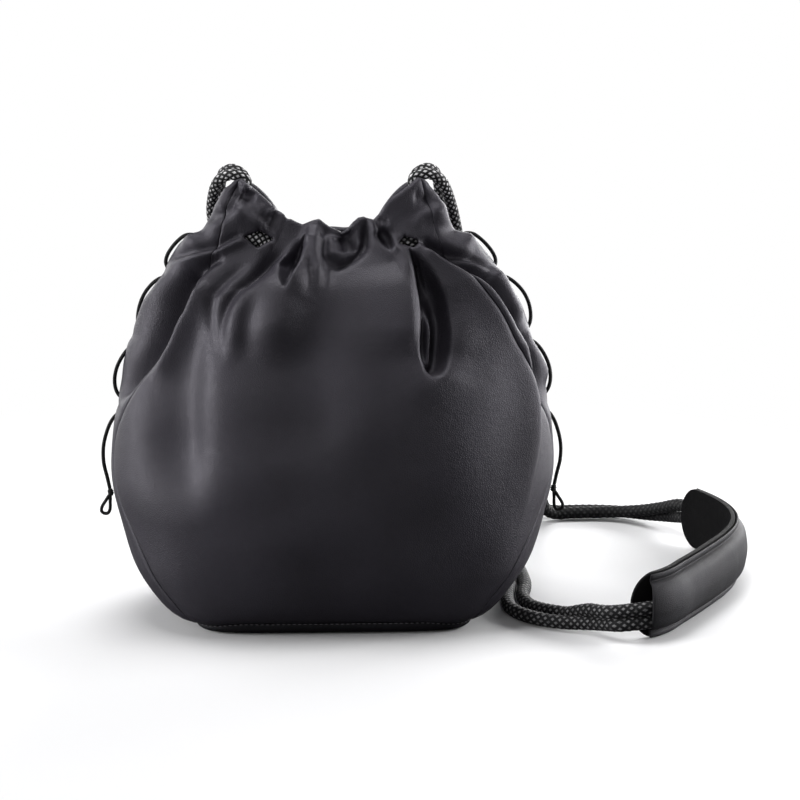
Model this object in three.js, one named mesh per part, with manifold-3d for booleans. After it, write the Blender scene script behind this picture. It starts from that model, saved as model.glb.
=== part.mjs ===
// Drawstring pouch: a soft bucket bag that two ropes close. The ropes' ends make its padded strap.
// Millimetres, +Z up, the front toward -Y and the laid-down strap toward +X.
// The origin is the middle of the base, on the surface that the pouch stands on.
import * as THREE from "three";
import { mergeVertices } from "three/addons/utils/BufferGeometryUtils.js";
import Module from "manifold-3d";

const wasm = await Module();
wasm.setup();

// Outline of the bag
const baseLength = 132;
const baseDepth = 92;
const baseHeight = 5.3;
const bellyWidth = 211;
const bellyDepth = 119;
const bellyHeight = 70;
const mouthWidth = 99;
const mouthDepth = 33;
const rimHeight = 187;
const earRise = 20;
const earStart = 0.42;
const earFullness = 2.3;
const backRimDrop = 4;

// Materials and fits
const leather = 1.6;
const liningThickness = 0.8;
const fitGap = 0.3;
const ropeDiameter = 6.5;
const ropeClearance = 0.4;
const drawcordSides = 10;
const drawcordStep = 5.85;
const outerRopeSides = 8;
const padRopeStep = 7.15;
const strapRopeStep = 8.45;
const channelWall = 1.1;
const channelGap = 0.6;

// Base
const baseSetback = 0.5;
const footInset = 9;
const footTurnIn = 3.15;
const footTurnHeight = 1.6;
const footTurnInnerHeight = 2.56;
const boardThickness = 2.5;
const boardMargin = 1;

// Windows in the hems, where a stretch of rope shows
const windowInner = 0.55;
const windowOuter = 0.83;
const windowFoot = 0.88;
const windowTop = 0.935;

// Side laces and their pull loops
const laceDiameter = 2;
const laceHoleClearance = 0.3;
const laceSteps = 48;
const topKnotDiameter = 4;
const endKnotDiameter = 3.4;
const loopLength = 11;
const loopWidth = 5.6;
const loopStroke = 1.9;
const loopPointStroke = 2.47;
const loopThickness = 2.2;
const loopTilt = THREE.MathUtils.degToRad(17);

// Shoulder pad
const padHeight = 31.5;
const padBaseThickness = 2;
const padCoverThickness = 1.4;
const padFlange = 3.6;
const padEndRound = 12;
const padCoverSetback = 10;
const padRopeInset = 2.5;
const padRopeGap = 0.5;
const padRopeNearHeight = 12.2;
const padRopeFarHeight = 15.7;
const padCoverMargin = 0.3;
const padWallLean = 0.2;
const padWallOut = 6.4;
const padWallInnerOut = 5.6;
const padCrownInset = 2.6;
const padCrownInnerInset = 3.2;
const padCrownDrop = 0.7;
const padCrownInnerDrop = 0.4;
const padCoverBend = 0.8;

// The body's sections from the base seam to the rim. Below the belly, width and depth run from the
// base's size (0) to the belly's (1), and above it from the mouth's (0) to the belly's (1). rise is the
// share of the height between the two, square the corner exponent, ear the share of the ears' rise, shift
// the sideways lean in millimetres, and seam the share of the way round where the side seam is.
const lowerSections = [
  { rise: 0, width: 0, depth: 0, square: 6, ear: 0, shift: 0.6, seam: 0.178 },
  { rise: 0.055, width: 0.31, depth: 0.22, square: 4.6, ear: 0, shift: 0, seam: 0.196 },
  { rise: 0.18, width: 0.545, depth: 0.48, square: 3.5, ear: 0, shift: -0.3, seam: 0.21 },
  { rise: 0.38, width: 0.755, depth: 0.74, square: 2.8, ear: 0, shift: 0, seam: 0.222 },
  { rise: 0.66, width: 0.905, depth: 0.95, square: 2.45, ear: 0, shift: 0.5, seam: 0.228 },
];
const upperSections = [
  { rise: 0, width: 1, depth: 1, square: 2.35, ear: 0, shift: 0.6, seam: 0.23 },
  { rise: 0.19, width: 0.972, depth: 0.965, square: 2.3, ear: 0, shift: 0.8, seam: 0.222 },
  { rise: 0.37, width: 0.899, depth: 0.884, square: 2.25, ear: 0, shift: 1.1, seam: 0.205 },
  { rise: 0.53, width: 0.796, depth: 0.756, square: 2.2, ear: 0, shift: 1.7, seam: 0.192 },
  { rise: 0.667, width: 0.687, depth: 0.616, square: 2.2, ear: 0, shift: 2, seam: 0.185 },
  { rise: 0.786, width: 0.557, depth: 0.442, square: 2.2, ear: 0.03, shift: 1, seam: 0.178 },
  { rise: 0.872, width: 0.41, depth: 0.233, square: 2.3, ear: 0.15, shift: 0, seam: 0.168 },
  { rise: 0.944, width: 0.205, depth: 0.081, square: 2.4, ear: 0.45, shift: -0.4, seam: 0.166 },
  { rise: 1, width: 0, depth: 0, square: 2.6, ear: 1, shift: 0, seam: 0.168 },
];

// Route on the bag: [share of the way round from the front's middle, level from 0 at the base to 1 at the
// rim]
const drawcordRoute = [
  [-0.18, 0.985],
  [-0.178, 0.962],
  [-0.168, 0.925],
  [-0.14, 0.906],
  [-0.105, 0.906],
  [-0.06, 0.93],
  [0, 0.945],
  [0.06, 0.93],
  [0.105, 0.906],
  [0.14, 0.906],
  [0.168, 0.925],
  [0.178, 0.962],
  [0.18, 0.985],
];

// Side lace: [level, height of the lace's middle above the leather], from the inner knot to the pull loop.
// Where the second number is negative the lace runs inside the lining.
const laceRoute = [
  [0.898, -4.2],
  [0.892, -1],
  [0.882, 1.7],
  [0.86, 2.5],
  [0.83, 2.4],
  [0.806, 1.6],
  [0.796, -1],
  [0.789, -4.2],
  [0.777, -4.2],
  [0.77, -1],
  [0.76, 2.4],
  [0.742, 4.5],
  [0.714, 5.2],
  [0.68, 4.5],
  [0.652, 2.6],
  [0.64, -1],
  [0.632, -4.2],
  [0.618, -4.2],
  [0.61, -1],
  [0.6, 2.4],
  [0.584, 4.6],
  [0.558, 5.3],
  [0.534, 4],
  [0.52, 1.4],
  [0.512, -1],
  [0.504, -4.2],
  [0.482, -4.2],
  [0.474, -1],
  [0.464, 1.6],
  [0.446, 3.2],
  [0.42, 4],
  [0.394, 3.6],
  [0.37, 2.4],
  [0.352, 2.2],
];

// Plan of the pad's middle line, from its near end to its far end
const padLine = [
  [138.3, -56],
  [147.6, -53.2],
  [156, -45.4],
  [164, -33],
  [173.5, -18],
  [183, -2],
  [191.5, 13.5],
  [198.5, 31],
  [201.5, 47],
  [201, 62],
  [198, 76],
  [193.5, 88],
  [188.5, 98],
  [184.5, 104.5],
];

// Free stretches of the ropes, from the ears to the pad's ends. Each hangs or lies down the bag's back and
// on over the standing surface.
const strapRoutes = {
  strap_rope_left_front: [
    [-39.4, -5.6, 202.1],
    [-38.3, -5.3, 205],
    [-39.4, -5, 209.4],
    [-43.8, -4.4, 212.6],
    [-49.6, -2.8, 212.2],
    [-54.6, 2.4, 206.6],
    [-57.2, 9.2, 198],
    [-57.4, 14.8, 189],
    [-53, 22, 179.5],
    [-44, 31.4, 169],
    [-32, 41.6, 155.5],
    [-17, 50.2, 140],
    [0, 56.4, 123.5],
    [17, 60.4, 105.5],
    [33, 62.6, 86],
    [48, 64.2, 63],
    [61.5, 65.3, 41],
    [72.5, 64.5, 22],
    [80.3, 60, 9.5],
    [85, 50, 4.2],
    [88, 36, 3.4],
    [87.8, 20, 3.4],
    [85, -2, 3.4],
    [86, -19, 3.4],
    [93.5, -31.2, 3.4],
    [103, -38.2, 3.4],
    [112, -42.5, 3.8],
    [119, -45.7, 4.6],
    [126, -51.2, 5.8],
    [132, -57.6, 7.4],
    [136.6, -60.8, 8.4],
    [141.1, -60.3, 8.8],
  ],
  strap_rope_left_back: [
    [-39.5, 5.6, 202],
    [-38.4, 5.3, 205],
    [-39.8, 5.6, 209.6],
    [-44.4, 7.2, 212],
    [-49, 10.6, 208.5],
    [-50.8, 14.6, 201.5],
    [-50, 18.2, 193],
    [-46, 22.6, 184],
    [-37.5, 29.6, 174],
    [-26, 40, 160.5],
    [-11, 48.8, 145],
    [6, 54.8, 128.5],
    [23, 59, 110.5],
    [39, 61.8, 90.5],
    [55, 64, 67.5],
    [69.5, 66.3, 44.5],
    [81, 67.6, 25],
    [89, 65, 10],
    [93.6, 54.5, 3.8],
    [95, 40, 3.4],
    [95.2, 20, 3.4],
    [92.6, 0, 3.4],
    [95.5, -14, 3.5],
    [103.8, -27.5, 5],
    [112.3, -36, 7.2],
    [119, -43.4, 11.2],
    [126, -52, 12.9],
    [132, -57.8, 14.4],
    [136.6, -60.8, 15.3],
    [141.1, -60.3, 15.6],
  ],
  strap_rope_right_front: [
    [39.3, -5.6, 202.2],
    [38.2, -5.3, 205],
    [39.4, -5, 209.4],
    [43.8, -4.4, 212.6],
    [49.6, -2.8, 212.2],
    [54.6, 2.4, 206.6],
    [57.6, 9.2, 198],
    [59.2, 15.5, 188],
    [61.8, 23.4, 175.5],
    [66.8, 34, 157],
    [75.8, 54, 125],
    [88.5, 81.5, 85.5],
    [102, 112.5, 45.5],
    [112.3, 137.5, 18],
    [115.8, 144.6, 9],
    [119.6, 148.2, 4.6],
    [126, 149.8, 4.2],
    [136, 150.4, 4.2],
    [147, 150.2, 4.4],
    [158, 146.6, 5.6],
    [168, 138.5, 8.4],
    [176, 129, 12.2],
    [182.6, 118.4, 16.6],
    [186.4, 110.8, 18.8],
    [189.4, 105.6, 19.1],
  ],
  strap_rope_right_back: [
    [39.3, 5.5, 202.1],
    [38.3, 5.2, 205],
    [39.8, 5.6, 209.6],
    [44.4, 7.2, 212],
    [49.2, 10.8, 208.5],
    [51.4, 15.4, 201],
    [52.4, 20.6, 190.5],
    [54.6, 29, 177.5],
    [59.4, 41, 158.5],
    [68.4, 61.5, 125.5],
    [81.5, 90, 85.5],
    [95.4, 122, 45.5],
    [107.2, 147.8, 17.5],
    [111.6, 154.6, 8],
    [117, 157, 3.9],
    [125, 157.4, 3.4],
    [136, 157.6, 3.4],
    [147.5, 157.2, 3.4],
    [160.5, 153.4, 3.5],
    [171.8, 143.8, 4.6],
    [180.3, 132.2, 6.9],
    [184.6, 121, 9.5],
    [186.8, 111.6, 11.8],
    [189.4, 105.6, 12.3],
  ],
};

function rampBetween(low, high, share) {
  return low + (high - low) * share;
}

// Cubic through the neighbouring values, for a smooth run of sections
function cubic(before, from, to, after, share) {
  const slopeFrom = (to - before) / 2;
  const slopeTo = (after - from) / 2;
  const squared = share * share;
  const cubed = squared * share;
  const startPart = (2 * cubed - 3 * squared + 1) * from + (cubed - 2 * squared + share) * slopeFrom;
  const endPart = (3 * squared - 2 * cubed) * to + (cubed - squared) * slopeTo;
  return startPart + endPart;
}

function sizedSections() {
  const seamHeight = baseHeight + fitGap;
  const lower = lowerSections.map((row) => ({
    ...row,
    z: rampBetween(seamHeight, bellyHeight, row.rise),
    halfWidth: rampBetween(baseLength, bellyWidth, row.width) / 2,
    halfDepth: rampBetween(baseDepth, bellyDepth, row.depth) / 2,
  }));
  const upper = upperSections.map((row) => ({
    ...row,
    z: rampBetween(bellyHeight, rimHeight, row.rise),
    halfWidth: rampBetween(mouthWidth, bellyWidth, row.width) / 2,
    halfDepth: rampBetween(mouthDepth, bellyDepth, row.depth) / 2,
  }));
  return [...lower, ...upper];
}

const sections = sizedSections();

function sectionAt(level) {
  const last = sections.length - 1;
  const place = THREE.MathUtils.clamp(level, 0, 1) * last;
  const row = Math.min(Math.floor(place), last - 1);
  const share = place - row;
  const blend = (key) => {
    const before = sections[Math.max(row - 1, 0)][key];
    const after = sections[Math.min(row + 2, last)][key];
    return cubic(before, sections[row][key], sections[row + 1][key], after, share);
  };
  return {
    z: blend("z"),
    halfWidth: blend("halfWidth"),
    halfDepth: blend("halfDepth"),
    square: blend("square"),
    ear: blend("ear"),
    shift: blend("shift"),
    seam: blend("seam"),
  };
}

function superellipse(section, angle) {
  const power = 2 / section.square;
  const across = Math.sin(angle);
  const along = -Math.cos(angle);
  const x = Math.sign(across) * Math.abs(across) ** power * section.halfWidth;
  const y = Math.sign(along) * Math.abs(along) ** power * section.halfDepth;
  return new THREE.Vector2(x, y);
}

// Walks once round a section, so that a share of its length can be turned into a point
const ringSteps = 256;
const ringCache = new Map();
function ringAt(level) {
  const known = ringCache.get(level);
  if (known) return known;
  const section = sectionAt(level);
  const points = [];
  const lengths = [0];
  for (let step = 0; step <= ringSteps; step++) {
    points.push(superellipse(section, (step / ringSteps) * Math.PI * 2));
    if (step > 0) lengths.push(lengths[step - 1] + points[step].distanceTo(points[step - 1]));
  }
  const ring = { section, points, lengths, length: lengths[ringSteps] };
  ringCache.set(level, ring);
  return ring;
}

function outerPoint(around, level) {
  const ring = ringAt(level);
  const section = ring.section;
  const turn = around - Math.floor(around);
  const wanted = turn * ring.length;
  let step = 1;
  while (step < ringSteps && ring.lengths[step] < wanted) step++;
  const stretch = ring.lengths[step] - ring.lengths[step - 1];
  const share = (wanted - ring.lengths[step - 1]) / stretch;
  const flat = ring.points[step - 1].clone().lerp(ring.points[step], share);
  const outward = Math.abs(flat.x) / section.halfWidth;
  const climb = Math.max(0, (outward - earStart) / (1 - earStart));
  const ear = 1 - (1 - Math.min(climb, 1)) ** earFullness;
  const backward = (1 - Math.cos(turn * Math.PI * 2)) / 2;
  const drop = backRimDrop * section.ear * (1 - ear) * backward;
  const z = section.z + earRise * section.ear * ear - drop;
  return new THREE.Vector3(flat.x + section.shift, flat.y, z);
}

// A point under the leather's outer face, square to it; a negative depth lies outside
const probe = 0.004;
function pointUnder(around, level, depth) {
  const left = outerPoint(around - probe, level);
  const right = outerPoint(around + probe, level);
  const low = outerPoint(around, Math.max(level - probe, 0));
  const high = outerPoint(around, Math.min(level + probe, 1));
  const normal = right.sub(left).cross(high.sub(low)).normalize();
  return outerPoint(around, level).addScaledVector(normal, -depth);
}

function solid(positions, indices) {
  const geometry = new THREE.BufferGeometry();
  geometry.setAttribute("position", new THREE.Float32BufferAttribute(positions, 3));
  geometry.setIndex(indices);
  return geometry;
}

// A sheet with a thickness over a grid of cells, some of which may be left out as holes
function sheet(columns, rows, outerAt, innerAt, isHole = () => false) {
  const positions = [];
  const indices = [];
  for (const pointAt of [outerAt, innerAt]) {
    for (let row = 0; row <= rows; row++) {
      for (let column = 0; column <= columns; column++) positions.push(...pointAt(column, row).toArray());
    }
  }
  const layer = (columns + 1) * (rows + 1);
  const corner = (column, row) => row * (columns + 1) + column;
  const isKept = (column, row) => {
    const inside = column >= 0 && column < columns && row >= 0 && row < rows;
    return inside && !isHole(column, row);
  };
  const wall = (from, to) => indices.push(to, from, from + layer, to, from + layer, to + layer);
  for (let row = 0; row < rows; row++) {
    for (let column = 0; column < columns; column++) {
      if (!isKept(column, row)) continue;
      const a = corner(column, row);
      const b = corner(column + 1, row);
      const c = corner(column + 1, row + 1);
      const d = corner(column, row + 1);
      indices.push(a, b, c, a, c, d);
      indices.push(a + layer, c + layer, b + layer, a + layer, d + layer, c + layer);
      if (!isKept(column, row - 1)) wall(a, b);
      if (!isKept(column + 1, row)) wall(b, c);
      if (!isKept(column, row + 1)) wall(c, d);
      if (!isKept(column - 1, row)) wall(d, a);
    }
  }
  return withoutLooseCorners(positions, indices);
}

// Drops the grid's corners that no face uses
function withoutLooseCorners(positions, indices) {
  const newIndex = new Map();
  const kept = [];
  for (const index of indices) {
    if (newIndex.has(index)) continue;
    newIndex.set(index, newIndex.size);
    kept.push(...positions.slice(index * 3, index * 3 + 3));
  }
  return solid(kept, indices.map((index) => newIndex.get(index)));
}

// A cup from rings of points: the outer rings run from the lip down to the floor, the inner rings likewise
function cup(outerRings, innerRings) {
  const sides = outerRings[0].length;
  const positions = [];
  const indices = [];
  const addLayer = (rings, isOuter) => {
    const start = positions.length / 3;
    for (const ring of rings) {
      for (const point of ring) positions.push(...point.toArray());
    }
    const lastRing = rings[rings.length - 1];
    const middle = lastRing.reduce((sum, point) => sum.add(point), new THREE.Vector3());
    positions.push(...middle.divideScalar(sides).toArray());
    const face = (a, b, c) => (isOuter ? indices.push(a, b, c) : indices.push(a, c, b));
    for (let ring = 0; ring < rings.length - 1; ring++) {
      for (let side = 0; side < sides; side++) {
        const next = (side + 1) % sides;
        const above = start + ring * sides;
        const below = above + sides;
        face(above + side, below + side, above + next);
        face(below + side, below + next, above + next);
      }
    }
    const floor = start + (rings.length - 1) * sides;
    const hub = start + rings.length * sides;
    for (let side = 0; side < sides; side++) face(floor + side, hub, floor + ((side + 1) % sides));
    return start;
  };
  const outer = addLayer(outerRings, true);
  const inner = addLayer(innerRings, false);
  for (let side = 0; side < sides; side++) {
    const next = (side + 1) % sides;
    indices.push(outer + side, outer + next, inner + next, outer + side, inner + next, inner + side);
  }
  return solid(positions, indices);
}

// A length of another curve, as a curve of its own
class Stretch extends THREE.Curve {
  constructor(whole, from, to) {
    super();
    this.whole = whole;
    this.from = from;
    this.to = to;
  }

  getPoint(share, target = new THREE.Vector3()) {
    return this.whole.getPointAt(THREE.MathUtils.lerp(this.from, this.to, share), target);
  }
}

function curveThrough(points) {
  return new THREE.CatmullRomCurve3(points, false, "centripetal");
}

function roundSection(diameter, sides) {
  const shape = new THREE.Shape();
  for (let side = 0; side < sides; side++) {
    const angle = ((side + 0.5) / sides) * Math.PI * 2;
    const x = (Math.cos(angle) * diameter) / 2;
    const y = (Math.sin(angle) * diameter) / 2;
    if (side === 0) shape.moveTo(x, y);
    else shape.lineTo(x, y);
  }
  shape.closePath();
  return shape;
}

function sweep(section, curve, steps) {
  return new THREE.ExtrudeGeometry(section, { steps, bevelEnabled: false, extrudePath: curve });
}

function rope(curve, sides, stepLength) {
  const steps = Math.round(curve.getLength() / stepLength);
  return sweep(roundSection(ropeDiameter, sides), curve, steps);
}

function toManifold(geometry) {
  const bare = geometry.clone();
  bare.deleteAttribute("normal");
  bare.deleteAttribute("uv");
  const merged = mergeVertices(bare, 1e-4);
  const vertProperties = new Float32Array(merged.attributes.position.array);
  const triVerts = new Uint32Array(merged.index.array);
  return new wasm.Manifold(new wasm.Mesh({ numProp: 3, vertProperties, triVerts }));
}

function fromManifold(body) {
  const mesh = body.getMesh();
  return solid(Array.from(mesh.vertProperties), Array.from(mesh.triVerts));
}

function cut(geometry, cutter) {
  return fromManifold(toManifold(geometry).subtract(toManifold(cutter)));
}

const looks = {
  shell: { color: 0x232126, roughness: 0.5, metalness: 0 },
  lining: { color: 0x1a1a1c, roughness: 0.9, metalness: 0 },
  board: { color: 0x2b2a28, roughness: 0.8, metalness: 0 },
  rope: { color: 0x17171a, roughness: 0.75, metalness: 0 },
  lace: { color: 0x101012, roughness: 0.6, metalness: 0 },
  pad: { color: 0x3a393c, roughness: 0.45, metalness: 0 },
};

const pouch = new THREE.Group();

function add(name, geometry, look) {
  const mesh = new THREE.Mesh(geometry, new THREE.MeshStandardMaterial(look));
  mesh.name = name;
  pouch.add(mesh);
  return mesh;
}

// Leather panels
const seamGap = fitGap / 2;

function panel(columnShares, levels, edgesAt, isHole) {
  const pointAt = (depth) => (column, row) => {
    const level = levels[row];
    const [from, to] = edgesAt(level);
    return pointUnder(rampBetween(from, to, columnShares[column]), level, depth);
  };
  return sheet(columnShares.length - 1, levels.length - 1, pointAt(0), pointAt(leather), isHole);
}

// Halves of a face between its two seams, with grid lines on the windows' edges
function faceShares() {
  const half = [0.12, 0.26, 0.41, windowInner, (windowInner + windowOuter) / 2, windowOuter, 0.92, 1];
  const shares = [...half.map((share) => -share).reverse(), 0, ...half];
  return shares.map((share) => (share + 1) / 2);
}

function evenShares(count) {
  return Array.from({ length: count + 1 }, (_, index) => index / count);
}

const wallLevels = [
  0, 0.04, 0.077, 0.154, 0.231, 0.33, 0.43, 0.538, 0.64, 0.735, 0.82, windowFoot, windowTop, 0.97, 1,
];
const windowRow = wallLevels.indexOf(windowFoot);

function faceEdges(middle) {
  return (level) => {
    const ring = ringAt(level);
    const reach = ring.section.seam - seamGap / ring.length;
    return [middle - reach, middle + reach];
  };
}

function gussetEdges(middle) {
  return (level) => {
    const ring = ringAt(level);
    const reach = 0.25 - ring.section.seam - seamGap / ring.length;
    return [middle - reach, middle + reach];
  };
}

const shares = faceShares();
const windowColumns = [];
for (let column = 0; column < shares.length - 1; column++) {
  const middle = Math.abs(shares[column] + shares[column + 1] - 1);
  if (middle > windowInner && middle < windowOuter) windowColumns.push(column);
}

function isWindow(column, row) {
  return row === windowRow && windowColumns.includes(column);
}

const sideShares = evenShares(8);
add("front_panel", panel(shares, wallLevels, faceEdges(0), isWindow), looks.shell);
add("back_panel", panel(shares, wallLevels, faceEdges(0.5), isWindow), looks.shell);

// Side laces, threaded out and in through the gussets and the lining
function laceCurve(side) {
  const points = laceRoute.map(([level, height]) => pointUnder(side, level, -height));
  const whole = curveThrough(points);
  const knotReach = (topKnotDiameter / 2 + fitGap) / whole.getLength();
  return new Stretch(whole, knotReach, 1);
}

const sides = [
  { name: "left", around: 0.75, direction: -1 },
  { name: "right", around: 0.25, direction: 1 },
];
const laceHoles = {};
for (const side of sides) {
  const curve = laceCurve(side.around);
  laceHoles[side.name] = sweep(roundSection(laceDiameter + 2 * laceHoleClearance, 8), curve, laceSteps);
  const gusset = panel(sideShares, wallLevels, gussetEdges(side.around));
  add(`gusset_${side.name}`, cut(gusset, laceHoles[side.name]), looks.shell);
  add(`lace_${side.name}`, sweep(roundSection(laceDiameter, 8), curve, laceSteps), looks.lace);

  const [topLevel, topHeight] = laceRoute[0];
  const topPlace = pointUnder(side.around, topLevel, -topHeight);
  add(`lace_top_knot_${side.name}`, knot(topKnotDiameter), looks.lace).position.copy(topPlace);

  const end = curve.getPoint(1);
  const endDirection = curve.getTangent(1);
  const knotPlace = end.clone().addScaledVector(endDirection, endKnotDiameter / 2 + fitGap);
  add(`lace_end_knot_${side.name}`, knot(endKnotDiameter), looks.lace).position.copy(knotPlace);

  const loop = add(`pull_loop_${side.name}`, pullLoop(), looks.lace);
  loop.position.copy(knotPlace);
  loop.rotation.y = -side.direction * loopTilt;
}

function knot(diameter) {
  return new THREE.SphereGeometry(diameter / 2, 10, 6);
}

// A drop-shaped ring that hangs from a point at its own origin, flat to the front
function pullLoop() {
  const top = -(endKnotDiameter / 2 + fitGap);
  const outline = new THREE.Shape(dropPoints(top, loopLength, loopWidth / 2));
  const holeLength = loopLength - loopPointStroke - loopStroke;
  const hole = dropPoints(top - loopPointStroke, holeLength, loopWidth / 2 - loopStroke);
  outline.holes.push(new THREE.Path(hole.reverse()));
  const geometry = new THREE.ExtrudeGeometry(outline, { depth: loopThickness, bevelEnabled: false });
  geometry.translate(0, 0, -loopThickness / 2);
  geometry.rotateX(Math.PI / 2);
  return geometry;
}

// A round bottom under straight sides that meet in a point
function dropPoints(top, length, radius) {
  const centre = top - length + radius;
  const reach = top - centre;
  const lean = Math.asin(radius / reach);
  const arcSteps = 10;
  const arc = evenShares(arcSteps).map((share) => {
    const angle = rampBetween(Math.PI / 2 - lean, -1.5 * Math.PI + lean, share);
    return new THREE.Vector2(Math.cos(angle) * radius, centre + Math.sin(angle) * radius);
  });
  return [new THREE.Vector2(0, top), ...arc];
}

// Base: a leather cup, a board that keeps it flat, and the lining over both
const ringSides = 40;

function ovalRing(halfWidth, halfDepth, z) {
  const section = { halfWidth, halfDepth, square: sections[0].square };
  return evenShares(ringSides)
    .slice(0, ringSides)
    .map((share) => {
      const flat = superellipse(section, share * Math.PI * 2);
      return new THREE.Vector3(flat.x + sections[0].shift, flat.y, z);
    });
}

const baseHalfLength = baseLength / 2 - baseSetback;
const baseHalfDepth = baseDepth / 2 - baseSetback;
const footHalfLength = baseHalfLength - footInset;
const footHalfDepth = baseHalfDepth - footInset;

function baseRing(inset, z) {
  return ovalRing(baseHalfLength - inset, baseHalfDepth - inset, z);
}

function basePanel() {
  const outer = [baseRing(0, baseHeight), baseRing(footTurnIn, footTurnHeight), baseRing(footInset, 0)];
  const inner = [
    baseRing(leather, baseHeight),
    baseRing(footTurnIn + leather, footTurnInnerHeight),
    baseRing(footInset, leather),
  ];
  return cup(outer, inner);
}
add("base_panel", basePanel(), looks.shell);

function flatOval(halfLength, halfDepth, thickness) {
  const shape = new THREE.Shape();
  ovalRing(halfLength, halfDepth, 0).forEach((point, index) => {
    if (index === 0) shape.moveTo(point.x, point.y);
    else shape.lineTo(point.x, point.y);
  });
  shape.closePath();
  return new THREE.ExtrudeGeometry(shape, { depth: thickness, bevelEnabled: false });
}

const boardFoot = leather + fitGap;
const boardHalfLength = footHalfLength - boardMargin;
const boardHalfDepth = footHalfDepth - boardMargin;
const board = add("base_board", flatOval(boardHalfLength, boardHalfDepth, boardThickness), looks.board);
board.position.z = boardFoot;

// The lining shares the panels' grid lines, so that it follows them at an even distance
function ringShares(level) {
  const across = (edges, list) => list.slice(0, -1).map((share) => rampBetween(edges[0], edges[1], share));
  return [
    ...across(faceEdges(0)(level), shares),
    ...across(gussetEdges(0.25)(level), sideShares),
    ...across(faceEdges(0.5)(level), shares),
    ...across(gussetEdges(0.75)(level), sideShares),
  ];
}

function lining() {
  const levels = wallLevels.slice(0, windowRow).reverse();
  const floor = boardFoot + boardThickness + fitGap;
  const floorRing = (depth, height) =>
    ringShares(0).map((around) => {
      const rim = outerPoint(around, 0);
      const x = ((rim.x - sections[0].shift) / sections[0].halfWidth) * (boardHalfLength - depth);
      const y = (rim.y / sections[0].halfDepth) * (boardHalfDepth - depth);
      return new THREE.Vector3(x + sections[0].shift, y, height);
    });
  const layer = (depth, floorHeight) => [
    ...levels.map((level) => ringShares(level).map((around) => pointUnder(around, level, depth))),
    floorRing(depth, floorHeight),
  ];
  const outerDepth = leather + fitGap;
  return cup(layer(outerDepth, floor), layer(outerDepth + liningThickness, floor + liningThickness));
}
const linedWithHoles = cut(cut(lining(), laceHoles.left), laceHoles.right);
add("lining", linedWithHoles, looks.lining);

// Drawcords and the hem channels that hold them
const channelBore = ropeDiameter + 2 * ropeClearance;
const channelDiameter = channelBore + 2 * channelWall;
const channelDepth = leather + channelGap + channelDiameter / 2;

function drawcordCurve(turn) {
  const points = drawcordRoute.map(([around, level]) => pointUnder(around + turn, level, channelDepth));
  return curveThrough(points);
}

function channelSection() {
  const shape = roundSection(channelDiameter, 12);
  const bore = roundSection(channelBore, 12);
  shape.holes.push(new THREE.Path(bore.getPoints().reverse()));
  return shape;
}

// Shares of the drawcord's length that its channels cover
const earChannelEnd = 0.17;
const faceChannelStart = 0.3;
const drawcords = [
  { face: "front", turn: 0, start: "left", finish: "right" },
  { face: "back", turn: 0.5, start: "right", finish: "left" },
];
for (const { face, turn, start, finish } of drawcords) {
  const curve = drawcordCurve(turn);
  const spans = [
    { name: `channel_${start}_${face}`, from: 0, to: earChannelEnd, steps: 5 },
    { name: `channel_${face}`, from: faceChannelStart, to: 1 - faceChannelStart, steps: 8 },
    { name: `channel_${finish}_${face}`, from: 1 - earChannelEnd, to: 1, steps: 5 },
  ];
  for (const { name, from, to, steps } of spans) {
    add(name, sweep(channelSection(), new Stretch(curve, from, to), steps), looks.shell);
  }
  add(`drawcord_${face}`, rope(curve, drawcordSides, drawcordStep), looks.rope);
}

// Shoulder pad: an inner piece with round ends, a cover stitched on along its edges, and the ropes between
const padCurve = curveThrough(padLine.map(([x, y]) => new THREE.Vector3(x, y, 0)));
const padLength = padCurve.getLength();

function padPoint(distance, outward, height) {
  const share = distance / padLength;
  const tangent = padCurve.getTangentAt(share);
  const side = new THREE.Vector3(tangent.y, -tangent.x, 0);
  const point = padCurve.getPointAt(share).addScaledVector(side, outward);
  point.z = height;
  return point;
}

const padEndShares = [0.03, 0.12, 0.3, 0.6];
const coverDistances = evenShares(24).map((share) =>
  rampBetween(padCoverSetback, padLength - padCoverSetback, share),
);

function padBase() {
  const near = padEndShares.map((share) => share * padCoverSetback);
  const far = near.map((distance) => padLength - distance).reverse();
  const distances = [...near, ...coverDistances, ...far];
  const halfHeightAt = (distance) => {
    const edge = Math.min(distance, padLength - distance, padEndRound);
    return (padHeight / 2) * Math.sqrt(1 - (1 - edge / padEndRound) ** 2);
  };
  const pointAt = (outward) => (column, row) => {
    const distance = distances[column];
    return padPoint(distance, outward, padHeight / 2 + (row - 1) * halfHeightAt(distance));
  };
  return sheet(distances.length - 1, 2, pointAt(padBaseThickness / 2), pointAt(-padBaseThickness / 2));
}
add("pad_base", padBase(), looks.lining);

const padRopeOut = padBaseThickness / 2 + padRopeGap + ropeDiameter / 2;

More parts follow.
